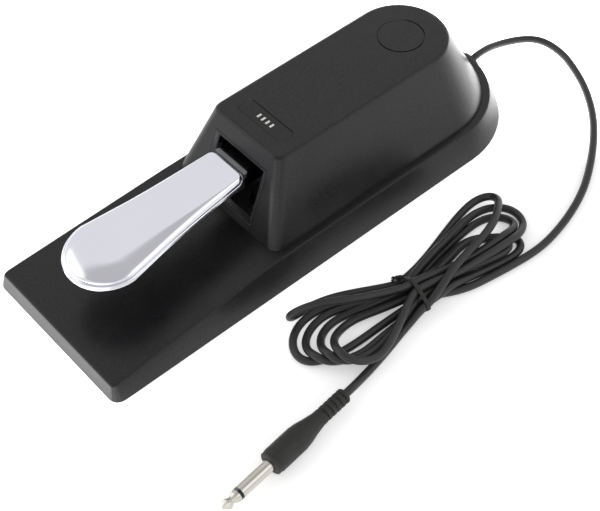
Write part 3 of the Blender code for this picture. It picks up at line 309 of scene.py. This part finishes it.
def chrome():
    """Bright plating with the faint waves of a polished pressing and a few dull wipe marks."""
    nodes = Nodes(bpy.data.materials.new("chrome_plating"))
    nodes.shader.inputs["Metallic"].default_value = 1
    tint = nodes.mix(nodes.noise(25), (0.79, 0.79, 0.86), (0.83, 0.83, 0.89))
    gloss = nodes.map_range(nodes.noise(60, 5, (1, 0.3, 1)), 0.35, 0.8, 0.10, 0.19)
    waves = nodes.bump(nodes.noise(45, 1), 0.06 * MM, 0.5)
    return nodes.finish(tint, gloss, waves)


def worn_metal(name, dark, light, roughness, stretch=(1, 1, 1), scale=350, depth=0.02 * MM):
    """Bare or plated metal with fine streaks along one direction and cloudy gloss."""
    nodes = Nodes(bpy.data.materials.new(name))
    nodes.shader.inputs["Metallic"].default_value = 1
    tint = nodes.mix(nodes.noise(90, 4), dark, light)
    gloss = nodes.map_range(nodes.noise(130, 4), 0.3, 0.7, roughness - 0.06, roughness + 0.08)
    streaks = nodes.bump(nodes.noise(scale, 3, stretch), depth, 0.5, nodes.soft_edges(METAL_EDGE))
    return nodes.finish(tint, gloss, streaks)


def arm_metal():
    """Grey zinc plate; the beam behind the cap, inside the housing, is painted near black as painted shade.
    """
    nodes = Nodes(bpy.data.materials.new("grey_metal"))
    nodes.shader.inputs["Metallic"].default_value = 1
    split = nodes.add("ShaderNodeSeparateXYZ")
    nodes.link(nodes.place(), split.inputs["Vector"])
    inside = nodes.map_range(split.outputs["Y"], ARM_STRIP_END_Y, ARM_STRIP_END_Y + ARM_STRIP_FADE, 0, 1)
    zinc = nodes.mix(nodes.noise(90, 4), (0.17, 0.17, 0.18), (0.24, 0.24, 0.25))
    # painted shade: behind ARM_STRIP_END_Y, inside the housing, the arm goes near black
    tint = nodes.mix(inside, (0, 0, 0), (0.012, 0.012, 0.012))
    nodes.link(zinc, tint.node.inputs["A"])
    gloss = nodes.map_range(nodes.noise(130, 4), 0.3, 0.7, 0.36, 0.50)
    return nodes.finish(tint, gloss, nodes.bump(nodes.noise(400, 3, (1, 0.3, 1)), 0.02 * MM, 0.5))


def soft_plastic(name, colour, roughness, scale, depth, ior=1.45):
    """Vinyl, rubber or nylon: a matt skin with small pits and faint rub marks."""
    nodes = Nodes(bpy.data.materials.new(name))
    nodes.shader.inputs["IOR"].default_value = ior
    tint = nodes.mix(nodes.noise(120, 3), colour, [c * 1.3 for c in colour])
    gloss = nodes.map_range(nodes.noise(200, 3), 0.3, 0.7, roughness - 0.07, roughness + 0.07)
    pits = nodes.bump(nodes.noise(scale, 2), depth, 0.6, nodes.soft_edges(PLASTIC_EDGE))
    return nodes.finish(tint, gloss, pits)


def make_materials():
    """One material for each of the record's material slots."""
    return {
        "black_plastic": moulded_plastic("black_plastic", (0.0075, 0.0075, 0.0085), 0.30),
        "dark_plastic": moulded_plastic("dark_plastic", (0.010, 0.010, 0.011), 0.42),
        "badge_black": moulded_plastic("badge_black", (0.006, 0.006, 0.007), 0.22),
        "chrome": chrome(),
        "grey_metal": arm_metal(),
        "zinc_steel": worn_metal("zinc_steel", (0.50, 0.51, 0.52), (0.64, 0.65, 0.66), 0.34, (1, 0.2, 1)),
        "nickel": worn_metal("nickel", (0.56, 0.54, 0.49), (0.65, 0.625, 0.58), 0.19, (0.3, 4, 0.3), 500,
                             0.006 * MM),
        "nylon": soft_plastic("nylon", (0.62, 0.61, 0.57), 0.48, 900, 0.02 * MM),
        "rubber": soft_plastic("rubber", (0.014, 0.014, 0.013), 0.55, 1300, 0.04 * MM),
        "cord_vinyl": soft_plastic("cord_vinyl", (0.018, 0.018, 0.0175), 0.36, 1500, 0.03 * MM),
        "red_vinyl": soft_plastic("red_vinyl", (0.42, 0.016, 0.014), 0.42, 1500, 0.02 * MM),
    }


JOIN_DISTANCE = 0.005 * MM
SHARP_ANGLE = math.radians(24)      # edges between facets that turn more than this stay sharp


def smoothing_group():
    """Joins the facets of a CAD node and shades its round faces smooth."""
    group = bpy.data.node_groups.new("smooth_rounds", "GeometryNodeTree")
    for direction in ("INPUT", "OUTPUT"):
        group.interface.new_socket("Geometry", in_out=direction, socket_type="NodeSocketGeometry")
    start, end, merge, normals, angle, compare = [group.nodes.new(kind) for kind in (
        "NodeGroupInput", "NodeGroupOutput", "GeometryNodeMergeByDistance", "GeometryNodeSetMeshNormal",
        "GeometryNodeInputMeshEdgeAngle", "FunctionNodeCompare")]
    merge.inputs["Distance"].default_value = JOIN_DISTANCE
    compare.inputs["B"].default_value = SHARP_ANGLE
    normals.mode = "SHARPNESS"
    normals.inputs["Remove Custom"].default_value = True
    normals.inputs["Face Sharpness"].default_value = False
    group.links.new(start.outputs[0], merge.inputs["Geometry"])
    group.links.new(merge.outputs["Geometry"], normals.inputs["Mesh"])
    group.links.new(angle.outputs["Unsigned Angle"], compare.inputs["A"])
    group.links.new(compare.outputs["Result"], normals.inputs["Edge Sharpness"])
    group.links.new(normals.outputs["Mesh"], end.inputs[0])
    return group


def dress_cad_nodes(materials):
    """Gives every CAD node the material of its slot and smooth round faces."""
    group = smoothing_group()
    for row in frame["record"]["subparts"]:
        node = frame["nodes"][row["node"]]
        node.data.materials.clear()
        node.data.materials.append(materials[row["material_slot"]])
        node.modifiers.new("smooth_rounds", "NODES").node_group = group
        weighted = node.modifiers.new("flat_faces_first", "WEIGHTED_NORMAL")
        weighted.keep_sharp = True
        weighted.weight = 100


# ================================================================ cord
GROMMET_PROUD = 2.0 * MM            # how far the grommet's face stands out from the wall
END_GAP = 0.3 * MM                  # between the cord's ends and what they go into
STRAIGHT_OUT = 3 * MM               # the cord leaves the grommet straight for this far
STRAIGHT_IN = 4 * MM                # and goes straight for this far before the plug
ROUTE_POINTS = 3000
FINE_STEP = 1.0 * MM
EASE_ROUNDS = 14
STRAND_APART = 14 * MM              # points further apart than this along the cord are different strands
STRAND_REACH = 2 * MM               # pairs with up to this much air between them are watched
SETTLE_ROUNDS = 320
SINK_ROUNDS = 192                   # the strands sink during the first rounds only
SINK_STEP = 0.006 * MM
PUSH_SHARE = 0.22                   # share of an overlap that each strand gives way in a round
SHIFT_SMOOTHING = 0.18
# The hank's end loops in the order in which the cord makes them. Front loops go out on the right and
# come back on the left; rear loops go out on the left and come back on the right. The flat loop stands
# nearly on its edge and goes out high and comes back low.
FRONT_LOOPS = [
    [(99, -20, 2.3), (98.5, -36, 2.3), (96, -51, 2.3), (89, -61, 2.3), (80, -60, 2.3), (73.5, -53, 2.3),
     (71, -43, 2.3), (72.5, -32, 2.3), (77, -21, 2.6)],
    [(111.5, -25, 8), (114, -37, 7.5), (111.5, -46.5, 10.5), (105, -51.5, 12), (97, -49, 10),
     (91, -43, 6.5), (88, -34, 4.5), (89, -24, 5)],
    [(108.5, -24, 6.2), (109, -38, 6.4), (106, -49, 9), (98, -53.5, 9.8), (90.5, -51, 6), (84, -45, 3),
     (81.2, -36, 2.3), (83, -25, 2.6)],
    [(105, -24, 2.6), (105.5, -38, 3.5), (102.5, -50, 6), (97, -56, 6.8), (90, -57.5, 4), (82.5, -54, 2.4),
     (77.5, -46, 2.3), (76, -36, 2.3), (79, -25, 2.3)],
    [(87, -20, 15), (82, -30, 16.5), (75.5, -42, 17), (70.5, -51, 13), (68.5, -53, 8), (67.5, -47, 3.6),
     (67.8, -38, 2.3), (71.5, -27, 2.3), (77, -16, 2.5)]]
REAR_LOOPS = [
    [(87, 28, 6.2), (84.5, 42, 5.5), (81.5, 56, 4.6), (79.8, 67, 3), (81.5, 76, 2.3), (87, 82, 2.3),
     (94, 83.5, 2.3), (100, 80.5, 3), (104.5, 73, 6.5), (106.5, 64, 10), (106.5, 52, 11.5), (105, 39, 11.5),
     (103, 26, 11)],
    [(92.5, 22, 6), (92, 33, 6.3), (90.5, 44, 6.3), (93, 53, 6.3), (98.5, 60, 6.3), (104, 65, 6.3),
     (108.5, 62, 6.3), (108.8, 54, 6.3), (106.5, 42, 6.3), (104, 29, 6.3)],
    [(91.5, 24, 2.3), (90, 34, 2.3), (88.5, 45, 2.3), (90.5, 55, 2.3), (96, 62, 2.3), (101, 68.5, 2.3),
     (106.5, 71.5, 2.3), (111, 67.5, 2.3), (111.3, 59, 2.3), (109, 46, 2.3), (106.5, 31, 2.3)],
    [(88, 27, 2.3), (85.5, 38, 2.3), (83.5, 50, 2.3), (83, 62, 2.3), (85.5, 71, 2.3), (91, 76.5, 2.3),
     (97, 77, 3.5), (101.5, 72, 6.5), (103.3, 63, 9.8), (103.5, 51, 10.5), (102.5, 38, 10.5), (101, 26, 10)],
    [(86, 23, 4), (81.8, 36, 4), (77.5, 49, 4), (74.2, 61, 4), (73, 71.5, 4.5), (75.5, 79, 5.8),
     (81.5, 80.5, 8), (88, 73.5, 11.5), (94.5, 63.5, 14), (98.5, 51, 15), (100.5, 38, 15), (102, 25, 13)]]
# Where the strands pass through the tie, in the order of the cord: sideways and height.
TIE_SLOTS = [(3.2, 3.2), (-5.2, 3.2), (3.0, 10.5), (1.1, 6.9), (5.3, 6.9), (-3.1, 6.9), (7.4, 3.2),
             (-1.0, 3.2), (-1.2, 10.5), (-9.4, 3.2), (9.4, 6.9)]
LEAD_ROUTE = [(-0.9, 155, 8.6), (-1.3, 162, 6.9), (-0.9, 170.5, 4.6), (1.6, 180, 2.9), (6.6, 187.4, 2.3),
              (14, 190.9, 2.3), (25, 191, 2.3), (36, 188, 2.3), (54, 179.5, 2.3), (72, 166, 2.3),
              (88, 148, 2.3), (103, 125, 2.3), (111.5, 104, 2.3), (116, 84, 2.3), (116.5, 70, 2.3),
              (115, 57, 2.3), (112.8, 44, 2.3), (110, 31, 2.3), (105, 19, 2.6)]
TAIL_ROUTE = [(107.5, -13, 2.6), (110.5, -24, 2.3), (113, -34, 2.3), (115.3, -44, 2.7), (117.5, -53, 4.6)]


def smooth_path(points, count):
    """Evenly counted points on a Catmull-Rom curve through the given points."""
    nodes = [Vector(p) for p in points]
    nodes = [2 * nodes[0] - nodes[1]] + nodes + [2 * nodes[-1] - nodes[-2]]
    spans = len(nodes) - 3
    path = []
    for i in range(count):
        place = spans * i / (count - 1)
        span = min(int(place), spans - 1)
        t = place - span
        a, b, c, d = nodes[span:span + 4]
        path.append(0.5 * ((2 * b) + (c - a) * t + (2 * a - 5 * b + 4 * c - d) * t ** 2
                           + (3 * b - a - 3 * c + d) * t ** 3))
    return np.array([tuple(p) for p in path])


def respaced(points, step):
    """Points along the same line, equally far apart."""
    along = np.concatenate([[0], np.cumsum(np.linalg.norm(np.diff(points, axis=0), axis=1))])
    count = int(round(along[-1] / step)) + 1
    places = np.linspace(0, along[-1], count)
    return np.stack([np.interp(places, along, points[:, i]) for i in range(3)], axis=1)


def relaxed(points, rounds):
    """The same line with its sharp turns eased; its ends stay."""
    points = points.copy()
    for _ in range(rounds):
        points[2:-2] += 0.4 * (points[1:-3] + points[3:-1] - 2 * points[2:-2])
    return points


def grommet_frame():
    """Middle of the grommet's outer face and the rear wall's outward normal."""
    low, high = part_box("base_shell")
    normal = Vector((0, 1, REAR_WALL_LEAN)).normalized()
    centre = Vector((0, high.y - REAR_WALL_LEAN * (GROMMET_Z - low.z), GROMMET_Z))
    return centre + normal * GROMMET_PROUD, normal


def tie_point(slot, ahead):
    """Point of the cord just in front of or behind the tie, in one of its slots."""
    sideways, height = TIE_SLOTS[slot]
    return Vector((TIE_CENTRE.x + sideways * MM, TIE_CENTRE.y + TIE_SLANT * sideways * MM + ahead,
                   height * MM))


def hank_route():
    """Route of the cord through the hank, from the lead's arrival to the tail."""
    half = TIE_LENGTH / 2
    points = [tie_point(0, half), tie_point(0, -half)]
    for turn, (front, rear) in enumerate(zip(FRONT_LOOPS, REAR_LOOPS)):
        points += [Vector(p) * MM for p in front]
        points += [tie_point(2 * turn + 1, -half), tie_point(2 * turn + 1, half)]
        points += [Vector(p) * MM for p in rear]
        points += [tie_point(2 * turn + 2, half), tie_point(2 * turn + 2, -half)]
    return points


def cord_route():
    """The cord's whole route from the grommet to the plug, its sharp turns eased."""
    face, normal = grommet_frame()
    points = [face + normal * END_GAP, face + normal * STRAIGHT_OUT]
    points += [Vector(p) * MM for p in LEAD_ROUTE]
    points += hank_route()
    points += [Vector(p) * MM for p in TAIL_ROUTE]
    points += [PLUG_REAR - PLUG_DIRECTION * STRAIGHT_IN, PLUG_REAR - PLUG_DIRECTION * END_GAP]
    fine = respaced(smooth_path(points, ROUTE_POINTS), FINE_STEP)
    return respaced(relaxed(fine, EASE_ROUNDS), CORD_STEP)


def strand_pairs(place, reach):
    """Pairs of points on different strands that are closer than reach."""
    apart = np.linalg.norm(place[:, None] - place[None, :], axis=2)
    index = np.arange(len(place))
    strands = (index[None, :] - index[:, None]) * CORD_STEP > STRAND_APART
    return np.nonzero(strands & (apart < reach))


def settle(path):
    """Pushes the strands out of each other and lets them sink a little. The shift stays smooth along the
    cord, so the cord keeps its bends; its two ends stay where they are."""
    thick = 2.03 * CORD_RADIUS
    from_end = np.minimum(np.arange(len(path)), np.arange(len(path))[::-1])
    loose = np.clip((from_end - 3) / 6, 0, 1)[:, None]
    shift = np.zeros_like(path)
    for turn in range(SETTLE_ROUNDS):
        place = path + shift
        if turn % 10 == 0:
            first, second = strand_pairs(place, thick + STRAND_REACH)
        apart = place[second] - place[first]
        distance = np.maximum(np.linalg.norm(apart, axis=1), 1e-6)
        overlap = np.maximum(thick - distance, 0)
        push = apart / distance[:, None] * (PUSH_SHARE * overlap)[:, None]
        if turn < SINK_ROUNDS:
            shift[:, 2] -= SINK_STEP
        np.add.at(shift, first, -push)
        np.add.at(shift, second, push)
        shift[1:-1] += SHIFT_SMOOTHING * (shift[:-2] + shift[2:] - 2 * shift[1:-1])
        shift[:, 2] = np.maximum(shift[:, 2], FLOOR_Z - path[:, 2])
        shift *= loose
    return path + shift


def make_tube(name, path, radius, resolution=6):
    """Round tube along a path, as a curve object."""
    curve = bpy.data.curves.new(name, "CURVE")
    curve.dimensions = "3D"
    curve.bevel_depth = radius
    curve.bevel_resolution = resolution
    curve.use_fill_caps = True
    spline = curve.splines.new("POLY")
    spline.points.add(len(path) - 1)
    for point, place in zip(spline.points, path):
        point.co = (*place, 1.0)
    obj = bpy.data.objects.new(name, curve)
    bpy.context.scene.collection.objects.link(obj)
    return obj


def make_cord(material):
    """The cord as one piece, and the points of its settled route."""
    path = settle(cord_route())
    cord = make_tube("cord", respaced(smooth_path(path, 3 * len(path)), FINE_STEP), CORD_RADIUS)
    cord.data.materials.append(material)
    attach(cord, "base")
    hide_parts("cord_lead", "cord_bundle", "cord_tail")
    return cord, path


# ================================================================ tie
TIE_POINTS = 72                     # points round the tie
TIE_REACH = 14 * MM                 # strands up to this far sideways from its centre go through it
TIE_CLEARANCE = 0.05 * MM           # between the tie and the strands
TIE_ABOVE_FLOOR = 0.02 * MM
RIBBON_POINTS = 12                  # points round the band's own section
TWIST_LENGTH = 6 * MM
TWIST_DROP = 3 * MM
TWIST_TURNS = 1.8
TWIST_SPREAD = 0.62 * MM
TWIST_WIRE_RADIUS = 0.55 * MM
TWIST_STEPS = 59
TWIST_DIRECTION = Vector((-0.75, -0.62, 0)).normalized()
TWIST_FROM_BAND = 0.6 * MM


def tie_ring(path):
    """The tie's centreline: the tightest loop round the strands where they cross its plane."""
    out = Vector((1, TIE_SLANT, 0)).normalized()
    ahead = Vector((-out.y, out.x, 0))
    offset = (path - np.array(TIE_CENTRE)) @ np.array(ahead)
    crossing = np.nonzero((offset[:-1] * offset[1:] < 0)
                          & (np.abs(path[:-1, 0] - TIE_CENTRE.x) < TIE_REACH))[0]
    strands = [((Vector(path[i]) - TIE_CENTRE) @ out, path[i][2]) for i in crossing]
    reach = CORD_RADIUS + TIE_THICKNESS / 2 + TIE_CLEARANCE
    ring = []
    for i in range(TIE_POINTS):
        angle = math.tau * i / TIE_POINTS
        c, s = math.cos(angle), math.sin(angle)
        support = max(x * c + z * s for x, z in strands) + reach
        ring.append((support, c, s))
    points = []
    for i, (support, c, s) in enumerate(ring):
        after, c2, s2 = ring[(i + 1) % len(ring)]
        slope = (after - support * (c * c2 + s * s2)) / (s2 * c - c2 * s)
        x, z = support * c - slope * s, support * s + slope * c
        lowest = TIE_THICKNESS / 2 + TIE_ABOVE_FLOOR
        points.append(TIE_CENTRE + out * x + Vector((0, 0, max(z, lowest))))
    return points, out, ahead


def make_ribbon(name, ring, ahead, material):
    """Flat band with rounded edges along a closed ring."""
    mesh = bmesh.new()
    count = len(ring)
    middle = sum(ring, Vector()) / count
    section = []
    for i in range(RIBBON_POINTS):
        angle = math.tau * i / RIBBON_POINTS
        c, s = math.cos(angle), math.sin(angle)
        section.append((math.copysign(abs(c) ** 0.5, c) * TIE_WIDTH / 2, s * TIE_THICKNESS / 2))
    rows = []
    for i, point in enumerate(ring):
        along = (ring[(i + 1) % count] - ring[i - 1]).normalized()
        outward = ahead.cross(along).normalized()
        if outward @ (point - middle) < 0:
            outward = -outward
        rows.append([mesh.verts.new(point + ahead * a + outward * b) for a, b in section])
    for i in range(count):
        here, there = rows[i], rows[(i + 1) % count]
        for j in range(RIBBON_POINTS):
            k = (j + 1) % RIBBON_POINTS
            mesh.faces.new((here[j], here[k], there[k], there[j]))
    return finish_mesh(name, mesh, material)


def finish_mesh(name, mesh, material):
    """Turns a built mesh into a smooth-shaded object."""
    bmesh.ops.recalc_face_normals(mesh, faces=mesh.faces)
    data = bpy.data.meshes.new(name)
    mesh.to_mesh(data)
    mesh.free()
    data.shade_smooth()
    data.materials.append(material)
    obj = bpy.data.objects.new(name, data)
    bpy.context.scene.collection.objects.link(obj)
    return obj


def make_twisted_ends(start, direction, material):
    """The tie's two ends twisted together."""
    side = direction.cross(Vector((0, 0, 1))).normalized()
    rise = side.cross(direction)
    for number, phase in enumerate((0, math.pi)):
        path = []
        for i in range(TWIST_STEPS + 1):
            share = i / TWIST_STEPS
            angle = phase + TWIST_TURNS * math.tau * share
            spread = TWIST_SPREAD * (1 + 0.8 * max(0, share - 0.85) / 0.15)
            path.append(start + direction * TWIST_LENGTH * share + side * spread * math.cos(angle)
                        + rise * spread * math.sin(angle) - Vector((0, 0, TWIST_DROP * share ** 2)))
        end = make_tube("tie_end_%d" % number, path, TWIST_WIRE_RADIUS, 3)
        end.data.materials.append(material)
        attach(end, "base")


def make_tie(path, material):
    """The band round the hank and its twisted ends, which start at its upper left."""
    ring, out, ahead = tie_ring(path)
    band = make_ribbon("tie_band", ring, ahead, material)
    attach(band, "base")
    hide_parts("bundle_tie")
    left = min(ring, key=lambda p: (p - TIE_CENTRE) @ out - p.z)
    make_twisted_ends(left - out * TWIST_FROM_BAND, TWIST_DIRECTION, material)


# ================================================================ pedal cap
PEDAL_SLOPE = 0.055
NOSE_CENTRE_Y = -107.2
NOSE_Y = -129.5
NOSE_HALF_WIDTH = 22.2
NOSE_TOP_Z = 45.3
CAP_REAR_Y = -31.2
CAP_REAR_CORNER = 4.4
CAP_SHEET = 1.2
CAP_MIDDLE_FROM_REAR = 14           # the flat's inner rings shrink towards a line that ends here
CAP_JOIN_DISTANCE = 0.0005 * MM     # points closer together than this become one
NOSE_STEPS, SIDE_STEPS, CORNER_STEPS = 40, 60, 8
CAP_WIDTHS = [(-31.2, 12.9), (-46, 14.3), (-61, 15.6), (-76, 17.3), (-86, 18.7), (-96, 20.4),
              (-102, 21.4), (-107.2, 22.2)]
# Along the cap: how far in from the outline the flat top ends, how far in the upper body stands behind
# the lip, and the drops of the body's and of the lip's lower edge.
CAP_SHAPE = [(-31.2, 1.5, 0.3, 3.4, 4.8), (-46, 2.8, 0.4, 3.5, 5.0), (-60, 4.1, 0.5, 3.6, 5.0),
             (-76, 6.6, 0.7, 3.7, 5.1), (-90, 9.6, 1.0, 3.7, 5.2), (-107, 13.6, 1.6, 3.7, 5.5),
             (-129.5, 14.8, 1.9, 3.7, 5.8)]
# The body's shoulder from the flat top to the lip: share of the way out and share of the drop.
SHOULDER = [(1, 0), (0.92, 0.006), (0.82, 0.03), (0.7, 0.07), (0.55, 0.14), (0.4, 0.235), (0.28, 0.335),
            (0.18, 0.45), (0.10, 0.58), (0.04, 0.72), (0.01, 0.85), (0, 0.97)]
# The lip below it: share of the way from the body to the outline and share of its height.
LIP = [(-0.12, 0.0), (0.0, 0.03), (0.30, 0.08), (0.48, 0.18), (0.62, 0.38), (0.76, 0.62), (0.9, 0.84),
       (1, 0.96), (0.92, 1)]


def cap_half_width(y):
    """Half width of the cap between its nose and its rear."""
    places, widths = zip(*sorted(CAP_WIDTHS))
    return float(np.interp(y, places, widths))


def cap_outline():
    """The cap's outline as (x, y, nx, ny), from the nose round the right side to the rear's middle."""
    points = []
    for i in range(NOSE_STEPS):
        angle = -math.pi / 2 + math.pi / 2 * i / NOSE_STEPS
        c, s = math.cos(angle), math.sin(angle)
        points.append((NOSE_HALF_WIDTH * c, NOSE_CENTRE_Y + (NOSE_CENTRE_Y - NOSE_Y) * s, c, s))
    for i in range(SIDE_STEPS + 1):
        y = NOSE_CENTRE_Y + (CAP_REAR_Y - CAP_REAR_CORNER - NOSE_CENTRE_Y) * i / SIDE_STEPS
        around = [cap_half_width(y + step) for step in (-6, -3, 0, 3, 6)]
        blend = min(1, i / 8)
        points.append((sum(around) / 5 * blend + cap_half_width(y) * (1 - blend), y, 1, 0))
    corner_x = points[-1][0] - CAP_REAR_CORNER
    for i in range(1, CORNER_STEPS + 1):
        angle = math.pi / 2 * i / CORNER_STEPS
        c, s = math.cos(angle), math.sin(angle)
        points.append((corner_x + CAP_REAR_CORNER * c, CAP_REAR_Y - CAP_REAR_CORNER * (1 - s), c, s))
    for i in range(1, CORNER_STEPS + 1):
        points.append((corner_x * (1 - i / CORNER_STEPS), CAP_REAR_Y, 0, 1))
    return points


def cap_ring(rule, keep=1.0):
    """One ring of the cap's surface. The rule turns the flat's inset, the body's inset and the two drops
    at a place into the ring's inset and drop there; keep shrinks it towards the cap's middle line."""
    places, *columns = zip(*sorted(CAP_SHAPE))
    ring = []
    for x, y, nx, ny in cap_outline():
        shape = [float(np.interp(y, places, column)) for column in columns]
        inset, drop = rule(*shape)
        if ny > 0:
            drop = min(drop, (1 - ny) * drop + ny * (CAP_SHEET + 0.4))
        x, y = x - nx * inset, y - ny * inset
        middle_y = min(max(y, NOSE_CENTRE_Y), CAP_REAR_Y - CAP_MIDDLE_FROM_REAR)
        x, y = x * keep, middle_y + (y - middle_y) * keep
        z = NOSE_TOP_Z + PEDAL_SLOPE * (y - NOSE_CENTRE_Y) - drop
        ring.append(Vector((x, y, z)) * MM)
    mirrored = [Vector((-p.x, p.y, p.z)) for p in reversed(ring[1:-1])]
    return ring + mirrored


def cap_rings():
    """All rings from the middle of the top, over the shoulder and lip, to the middle of the underside."""
    rings = [cap_ring(lambda flat, body, fall, low: (flat, 0), keep)
             for keep in (0, 0.3, 0.6, 0.8, 0.92, 0.98)]
    for out, down in SHOULDER:
        rings.append(cap_ring(lambda flat, body, fall, low: (body + out * (flat - body), down * fall)))
    for out, down in LIP:
        rings.append(cap_ring(lambda flat, body, fall, low: ((1 - out) * body, fall + down * (low - fall))))
    rings.append(cap_ring(lambda flat, body, fall, low: (body + CAP_SHEET, low)))
    for out, down in reversed(SHOULDER[::3]):
        rings.append(cap_ring(lambda flat, body, fall, low: (
            body + out * (flat - body) + CAP_SHEET * (1 - out), down * fall + CAP_SHEET)))
    rings += [cap_ring(lambda flat, body, fall, low: (flat, CAP_SHEET), keep) for keep in (0.7, 0.35, 0)]
    return rings


def make_pedal_cap(material):
    """The plated cap: faces between its rings, the middle points of top and underside joined."""
    mesh = bmesh.new()
    rows = [[mesh.verts.new(p) for p in ring] for ring in cap_rings()]
    for here, there in zip(rows, rows[1:]):
        for i in range(len(here)):
            k = (i + 1) % len(here)
            mesh.faces.new((here[i], here[k], there[k], there[i]))
    bmesh.ops.remove_doubles(mesh, verts=mesh.verts, dist=CAP_JOIN_DISTANCE)
    cap = finish_mesh("pedal_cap_plated", mesh, material)
    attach(cap, "pedal")
    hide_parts("pedal_cap")


# ================================================================ return spring
SPRING_Y = 16 * MM
SPRING_BOTTOM_Z = 7.0 * MM
SPRING_TOP_Z = 36.1 * MM
SPRING_COIL_RADIUS = 5.3 * MM
SPRING_WIRE_RADIUS = 0.7 * MM
SPRING_TURNS = 7
SPRING_STEPS = 196


def make_return_spring(material):
    """The coil spring under the arm, a fixed coil standing on the base."""
    path = []
    for i in range(SPRING_STEPS + 1):
        share = i / SPRING_STEPS
        angle = math.tau * SPRING_TURNS * share
        path.append((SPRING_COIL_RADIUS * math.cos(angle), SPRING_Y + SPRING_COIL_RADIUS * math.sin(angle),
                     SPRING_BOTTOM_Z + share * (SPRING_TOP_Z - SPRING_BOTTOM_Z)))
    wire = make_tube("spring_wire", path, SPRING_WIRE_RADIUS, 3)
    bpy.context.view_layer.update()
    mesh = bpy.data.meshes.new_from_object(wire)
    bpy.data.objects.remove(wire)
    mesh.shade_smooth()
    mesh.materials.append(material)
    spring = bpy.data.objects.new("return_spring_coil", mesh)
    bpy.context.scene.collection.objects.link(spring)
    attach(spring, "base")
    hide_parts("return_spring")
    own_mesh(spring)


# ================================================================ badge mark and window bead
MARK_BARS = 4
MARK_STEP = 3.2 * MM
MARK_BAR = Vector((1.2, 2.8, 0.06)) * MM


def make_badge_mark(material):
    """Four plain bars printed on the badge plate, in place of any name."""
    low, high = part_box("badge_plate")
    middle = (low + high) / 2
    mesh = bmesh.new()
    for i in range(MARK_BARS):
        place = Vector((middle.x + (i - (MARK_BARS - 1) / 2) * MARK_STEP, middle.y, high.z))
        bmesh.ops.create_cube(mesh, size=1, matrix=Matrix.LocRotScale(place, None, MARK_BAR))
    mark = finish_mesh("badge_mark", mesh, material)
    mark.data.shade_flat()
    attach(mark, "base")


HOUSING_FOOT = Vector((0, -37.0, 17.4))     # middle of the foot of the housing's front face
HOUSING_FRONT_LEAN = 0.372          # how far back the face goes for each unit of height
BEAD_RADIUS = 0.35 * MM
BEAD_ROUNDING = 0.02                # the bead's corners are cut off by this share of each side
BEAD_HALF_WIDTH = 20.0
BEAD_BOTTOM_Z = 21.6
BEAD_TOP_Z = 53.3


def make_window_bead(material):
    """Thin raised line round the window on the housing's front face."""
    def place(x, z):
        return Vector((x, HOUSING_FOOT.y + HOUSING_FRONT_LEAN * (z - HOUSING_FOOT.z), z)) * MM
    width, low, high = BEAD_HALF_WIDTH, BEAD_BOTTOM_Z, BEAD_TOP_Z
    corners = [place(-width, low), place(width, low), place(width, high), place(-width, high)]
    path = []
    for corner, after in zip(corners, corners[1:] + corners[:1]):
        path += [corner.lerp(after, share) for share in (BEAD_ROUNDING, 0.5, 1 - BEAD_ROUNDING)]
    bead = make_tube("window_bead", path, BEAD_RADIUS, 4)
    bead.data.splines[0].use_cyclic_u = True
    bead.data.materials.append(material)
    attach(bead, "base")


# ================================================================ everything
make_camera()
make_studio()
materials = make_materials()
dress_cad_nodes(materials)
cord, cord_path = make_cord(materials["cord_vinyl"])
make_tie(cord_path, materials["rubber"])
make_pedal_cap(materials["chrome"])
make_return_spring(materials["zinc_steel"])
make_badge_mark(materials["nylon"])
make_window_bead(materials["black_plastic"])
